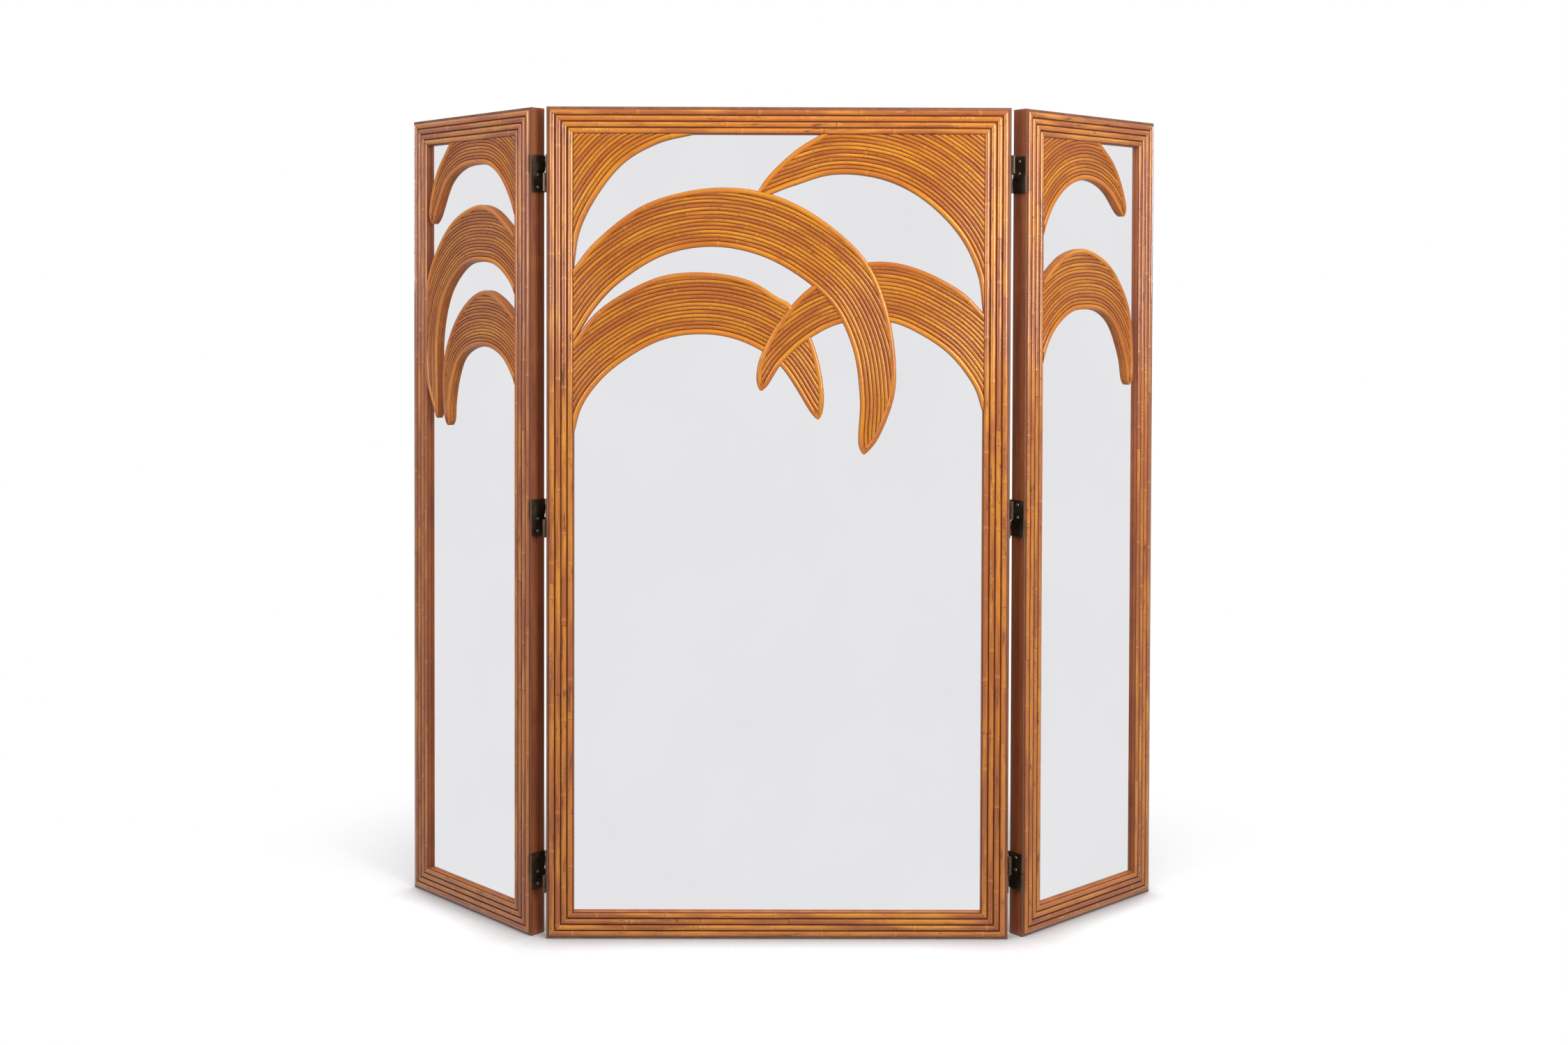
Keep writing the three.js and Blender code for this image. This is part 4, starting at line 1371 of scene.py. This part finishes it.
def screw_shape(width):
    """A slotted round head, in millimetres, with its back at height 0."""
    shape = bmesh.new()
    bmesh.ops.create_cone(shape, cap_ends=True, segments=SCREW_SIDES, radius1=width / 2,
                          radius2=width / 2 * SCREW_TAPER, depth=SCREW_RISE)
    bmesh.ops.translate(shape, verts=shape.verts, vec=(0, 0, SCREW_RISE / 2))
    for side in (-1, 1):
        everything = list(shape.verts) + list(shape.edges) + list(shape.faces)
        bmesh.ops.bisect_plane(shape, geom=everything, plane_co=(0, side * HALF_SLOT, 0),
                               plane_no=(0, 1, 0))
    slot = [face for face in shape.faces
            if face.normal.z > 0.9 and abs(face.calc_center_median().y) < HALF_SLOT * 0.5]
    made = bmesh.ops.extrude_discrete_faces(shape, faces=slot)
    for face in made["faces"]:
        for vert in face.verts:
            vert.co.z -= SLOT_DEPTH
    rims = [edge for edge in shape.edges if not edge.is_boundary
            and edge.calc_face_angle(0) > 0.6 and edge.verts[0].co.z > SCREW_RISE - 0.1]
    bmesh.ops.bevel(shape, geom=rims, offset=0.12, segments=1, affect="EDGES")
    return bpy.data.objects.new("screw", mesh_from(shape, "screw"))


def hinge_matrix(side, place, carrier):
    """Hinge millimetres to the row frame. On the left a hinge is upside down."""
    wing, height = f"{side}_wing", HINGE_HEIGHTS[place]
    flip = Matrix.Rotation(math.pi if side == "left" else 0, 4, "Y")
    if carrier == "centre":
        return Matrix.Scale(MM, 4) @ Matrix.Translation((hinge_x(wing), 0, height)) @ flip
    return pin_matrix(wing) @ Matrix.Translation((0, -PIN_REACH, height)) @ flip


class CANE_SCREEN_OT_hinge_screws(bpy.types.Operator):
    """Drive the slotted screws of the hinge leaves"""

    bl_idname = "cane_screen.hinge_screws"
    bl_label = "Hinge Screws"

    def execute(self, context):
        shape = screw_shape(context.scene.screen_sizes.screw_width / MM)
        rng = random.Random(SCREW_SEED)
        for side in ("left", "right"):
            for carrier in ("centre", "wing"):
                panel = "centre" if carrier == "centre" else f"{side}_wing"
                facing = 1 if carrier == "centre" else -1
                parts = []
                for place in HINGE_HEIGHTS:
                    spots = [(facing * -height, 0, 0, rng.uniform(0, math.pi), (1, 1, 1))
                             for height in SCREW_HEIGHTS]
                    mesh = copies_mesh(spots, shape, screw_material(), "screws")
                    # The drawing plane stands on the leaf: its x runs up the hinge.
                    stand = Matrix(((0, 0, facing, -facing * LEAF_FACE), (0, -facing, 0, 0),
                                    (1, 0, 0, 0), (0, 0, 0, 1)))
                    mesh.transform(hinge_matrix(side, place, carrier) @ stand)
                    parts.append(mesh)
                finish_piece(joined(parts), f"{side}_hinge_{carrier}_screws", panel)
        bpy.data.objects.remove(shape)
        return {"FINISHED"}


class CANE_SCREEN_OT_solid_finishes(bpy.types.Operator):
    """Give the wooden core, mirrors, back boards and hinges their finishes"""

    bl_idname = "cane_screen.solid_finishes"
    bl_label = "Wood, Glass and Metal"

    def execute(self, context):
        choices = (("_mirror", mirror_material), ("_back_board", board_material),
                   ("_leaf", bronze_material), ("_flap", bronze_material),
                   ("_stile", core_material), ("_rail", core_material))
        for name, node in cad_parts.items():
            if node.hide_render:
                continue
            finish = next((make() for ending, make in choices if name.endswith(ending)), None)
            if finish is None:
                raise RuntimeError(f"{name} has no finish")
            node.data.materials.clear()
            node.data.materials.append(finish)
        return {"FINISHED"}


# ------------------------------------------------------------------ stage

FLOOR_SIZE = 30.0
SCREEN_MIDDLE = (0.0, 0.12, 0.0)     # on the floor, in metres
FLOOR_SHADE = (0.8, 1.5)             # away from there the floor goes over to plain white
CONTACT_REACH = 0.14                 # how near the screen's foot the painted contact shade darkens the floor
WHITE = (1.0, 1.0, 1.0, 1.0)
BLACK = (0.0, 0.0, 0.0, 1.0)


FILL_LIGHT = 0.28
# Name, place, the point aimed at, width and height, and watts.
LAMPS = (
    ("left_softbox", (-2.3, -2.1, 2.05), (0, 0, 1.4), (0.9, 1.6), 38),
    ("right_softbox", (1.9, -2.35, 2.05), (0, 0, 1.4), (1.2, 1.8), 84),
    ("overhead", (0, -1.6, 4.0), (0, 0, 1.2), (2.4, 1.2), 60),
    ("back_left", (-2.6, 3.2, 2.2), (0, 0, 0.9), (1.2, 1.6), 60),
    ("back_right", (2.6, 3.2, 2.2), (0, 0, 0.9), (1.2, 1.6), 60),
)
HIDDEN_FROM_MIRRORS = ("overhead",)           # they would show it from the sides
CAMERA_LENS, CAMERA_SHIFT = 39.38, -0.1178
CAMERA_PLACE = (-0.0008, -3.7115, 1.373)
CAMERA_ANGLES = (90 - 1.07, -0.16, -0.19)     # degrees about x, y and z


def dimmed(colour, share):
    return tuple(share * part for part in colour[:3]) + (1.0,)


def floor_material(colour):
    """A matt floor that shows as white away from the screen, and keeps the shadow at its foot,
    deepened by painted contact shade.
    """
    material = bpy.data.materials.new("pale_floor")
    material.use_nodes = True
    tree = material.node_tree
    tree.nodes.clear()
    net = Net(tree)
    point = net.object_point()
    tone = net.mix(net.remap(net.noise(point, 90.0), 0.3, 0.7), dimmed(colour, 0.97), colour)
    # Painted contact shade: ambient occlusion darkens the floor's colour near the screen's foot.
    near = net.node("ShaderNodeAmbientOcclusion", {"Distance": CONTACT_REACH}, samples=8)
    tone = net.mix(net.remap(near.outputs["AO"], 0.35, 0.95, 0.4, 1.0), BLACK, tone)
    away = net.node("ShaderNodeVectorMath", {0: point, 1: SCREEN_MIDDLE},
                    operation="DISTANCE").outputs["Value"]
    bright = net.remap(away, *FLOOR_SHADE, 0.12, 1.0)

    rays = net.node("ShaderNodeLightPath").outputs
    matt = net.node("ShaderNodeBsdfDiffuse", {"Color": tone}).outputs[0]
    glow = net.node("ShaderNodeEmission", {"Color": WHITE, "Strength": 1.0}).outputs[0]
    dull = net.node("ShaderNodeBsdfDiffuse", {"Color": dimmed(colour, 0.22)}).outputs[0]
    lit = net.blend(bright, matt, glow)
    shown = net.blend(rays["Is Camera Ray"], dull, lit)
    mirrored = net.math("MAXIMUM", rays["Is Glossy Ray"], rays["Is Transmission Ray"])
    out = net.node("ShaderNodeOutputMaterial")
    tree.links.new(net.blend(mirrored, shown, glow), out.inputs["Surface"])
    return material


def studio_world():
    """Surroundings that show as white, and give the screen a low even light."""
    world = bpy.data.worlds.new("studio")
    world.use_nodes = True
    tree = world.node_tree
    tree.nodes.clear()
    net = Net(tree)
    rays = net.node("ShaderNodeLightPath").outputs
    direct = net.math("MAXIMUM", rays["Is Camera Ray"],
                      net.math("MAXIMUM", rays["Is Glossy Ray"], rays["Is Transmission Ray"]))
    fill = net.node("ShaderNodeBackground", {"Color": WHITE, "Strength": FILL_LIGHT}).outputs[0]
    white = net.node("ShaderNodeBackground", {"Color": WHITE, "Strength": 1.0}).outputs[0]
    out = net.node("ShaderNodeOutputWorld")
    tree.links.new(net.blend(direct, fill, white), out.inputs["Surface"])
    return world


def add_lamp(name, place, aim, size, power):
    light = bpy.data.lights.new(name, "AREA")
    light.shape = "RECTANGLE"
    light.size, light.size_y = size
    light.energy = power
    lamp = linked(name, light)
    lamp.location = place
    lamp.rotation_euler = (Vector(aim) - Vector(place)).to_track_quat("-Z", "Y").to_euler()
    lamp.visible_glossy = name not in HIDDEN_FROM_MIRRORS


class CANE_SCREEN_OT_stage(bpy.types.Operator):
    """Set the floor, the lights, the surroundings and the camera"""

    bl_idname = "cane_screen.stage"
    bl_label = "Stage"

    def execute(self, context):
        scene = context.scene
        shape = bmesh.new()
        bmesh.ops.create_grid(shape, x_segments=1, y_segments=1, size=FLOOR_SIZE)
        floor = linked("floor", mesh_from(shape, "floor"))
        floor.data.materials.append(floor_material(scene.screen_finishes.floor))

        scene.world = studio_world()
        for lamp in LAMPS:
            add_lamp(*lamp)

        camera_data = bpy.data.cameras.new("camera")
        camera_data.sensor_width = 36
        camera_data.lens = CAMERA_LENS
        camera_data.shift_y = CAMERA_SHIFT
        camera_data.clip_end = 200
        scene.camera = linked("camera", camera_data)
        scene.camera.location = CAMERA_PLACE
        scene.camera.rotation_euler = [math.radians(angle) for angle in CAMERA_ANGLES]
        scene.view_settings.view_transform = "Standard"
        return {"FINISHED"}


# ------------------------------------------------------------------ panel and registration

OPERATORS = (
    CANE_SCREEN_OT_frame_cane, CANE_SCREEN_OT_fronds, CANE_SCREEN_OT_side_strips,
    CANE_SCREEN_OT_bare_margin, CANE_SCREEN_OT_brads,
    CANE_SCREEN_OT_hinge_screws, CANE_SCREEN_OT_solid_finishes, CANE_SCREEN_OT_stage,
)


class CANE_SCREEN_PT_panel(bpy.types.Panel):
    bl_label = "Cane Screen"
    bl_idname = "CANE_SCREEN_PT_panel"
    bl_space_type = "VIEW_3D"
    bl_region_type = "UI"
    bl_category = "Cane Screen"

    def draw(self, context):
        for group in (context.scene.screen_sizes, context.scene.screen_finishes):
            column = self.layout.column()
            for name in group.__annotations__:
                column.prop(group, name)
        for operator in OPERATORS:
            self.layout.operator(operator.bl_idname)


CLASSES = (ScreenSizes, ScreenFinishes, *OPERATORS, CANE_SCREEN_PT_panel)


def register():
    for cls in CLASSES:
        bpy.utils.register_class(cls)
    bpy.types.Scene.screen_sizes = bpy.props.PointerProperty(type=ScreenSizes)
    bpy.types.Scene.screen_finishes = bpy.props.PointerProperty(type=ScreenFinishes)


def unregister():
    del bpy.types.Scene.screen_finishes
    del bpy.types.Scene.screen_sizes
    for cls in reversed(CLASSES):
        bpy.utils.unregister_class(cls)


def main():
    register()
    bpy.ops.cane_screen.frame_cane()
    bpy.ops.cane_screen.fronds()
    bpy.ops.cane_screen.side_strips()
    bpy.ops.cane_screen.bare_margin()
    bpy.ops.cane_screen.brads()
    bpy.ops.cane_screen.hinge_screws()
    bpy.ops.cane_screen.solid_finishes()
    bpy.ops.cane_screen.stage()


if __name__ == "__main__":
    main()
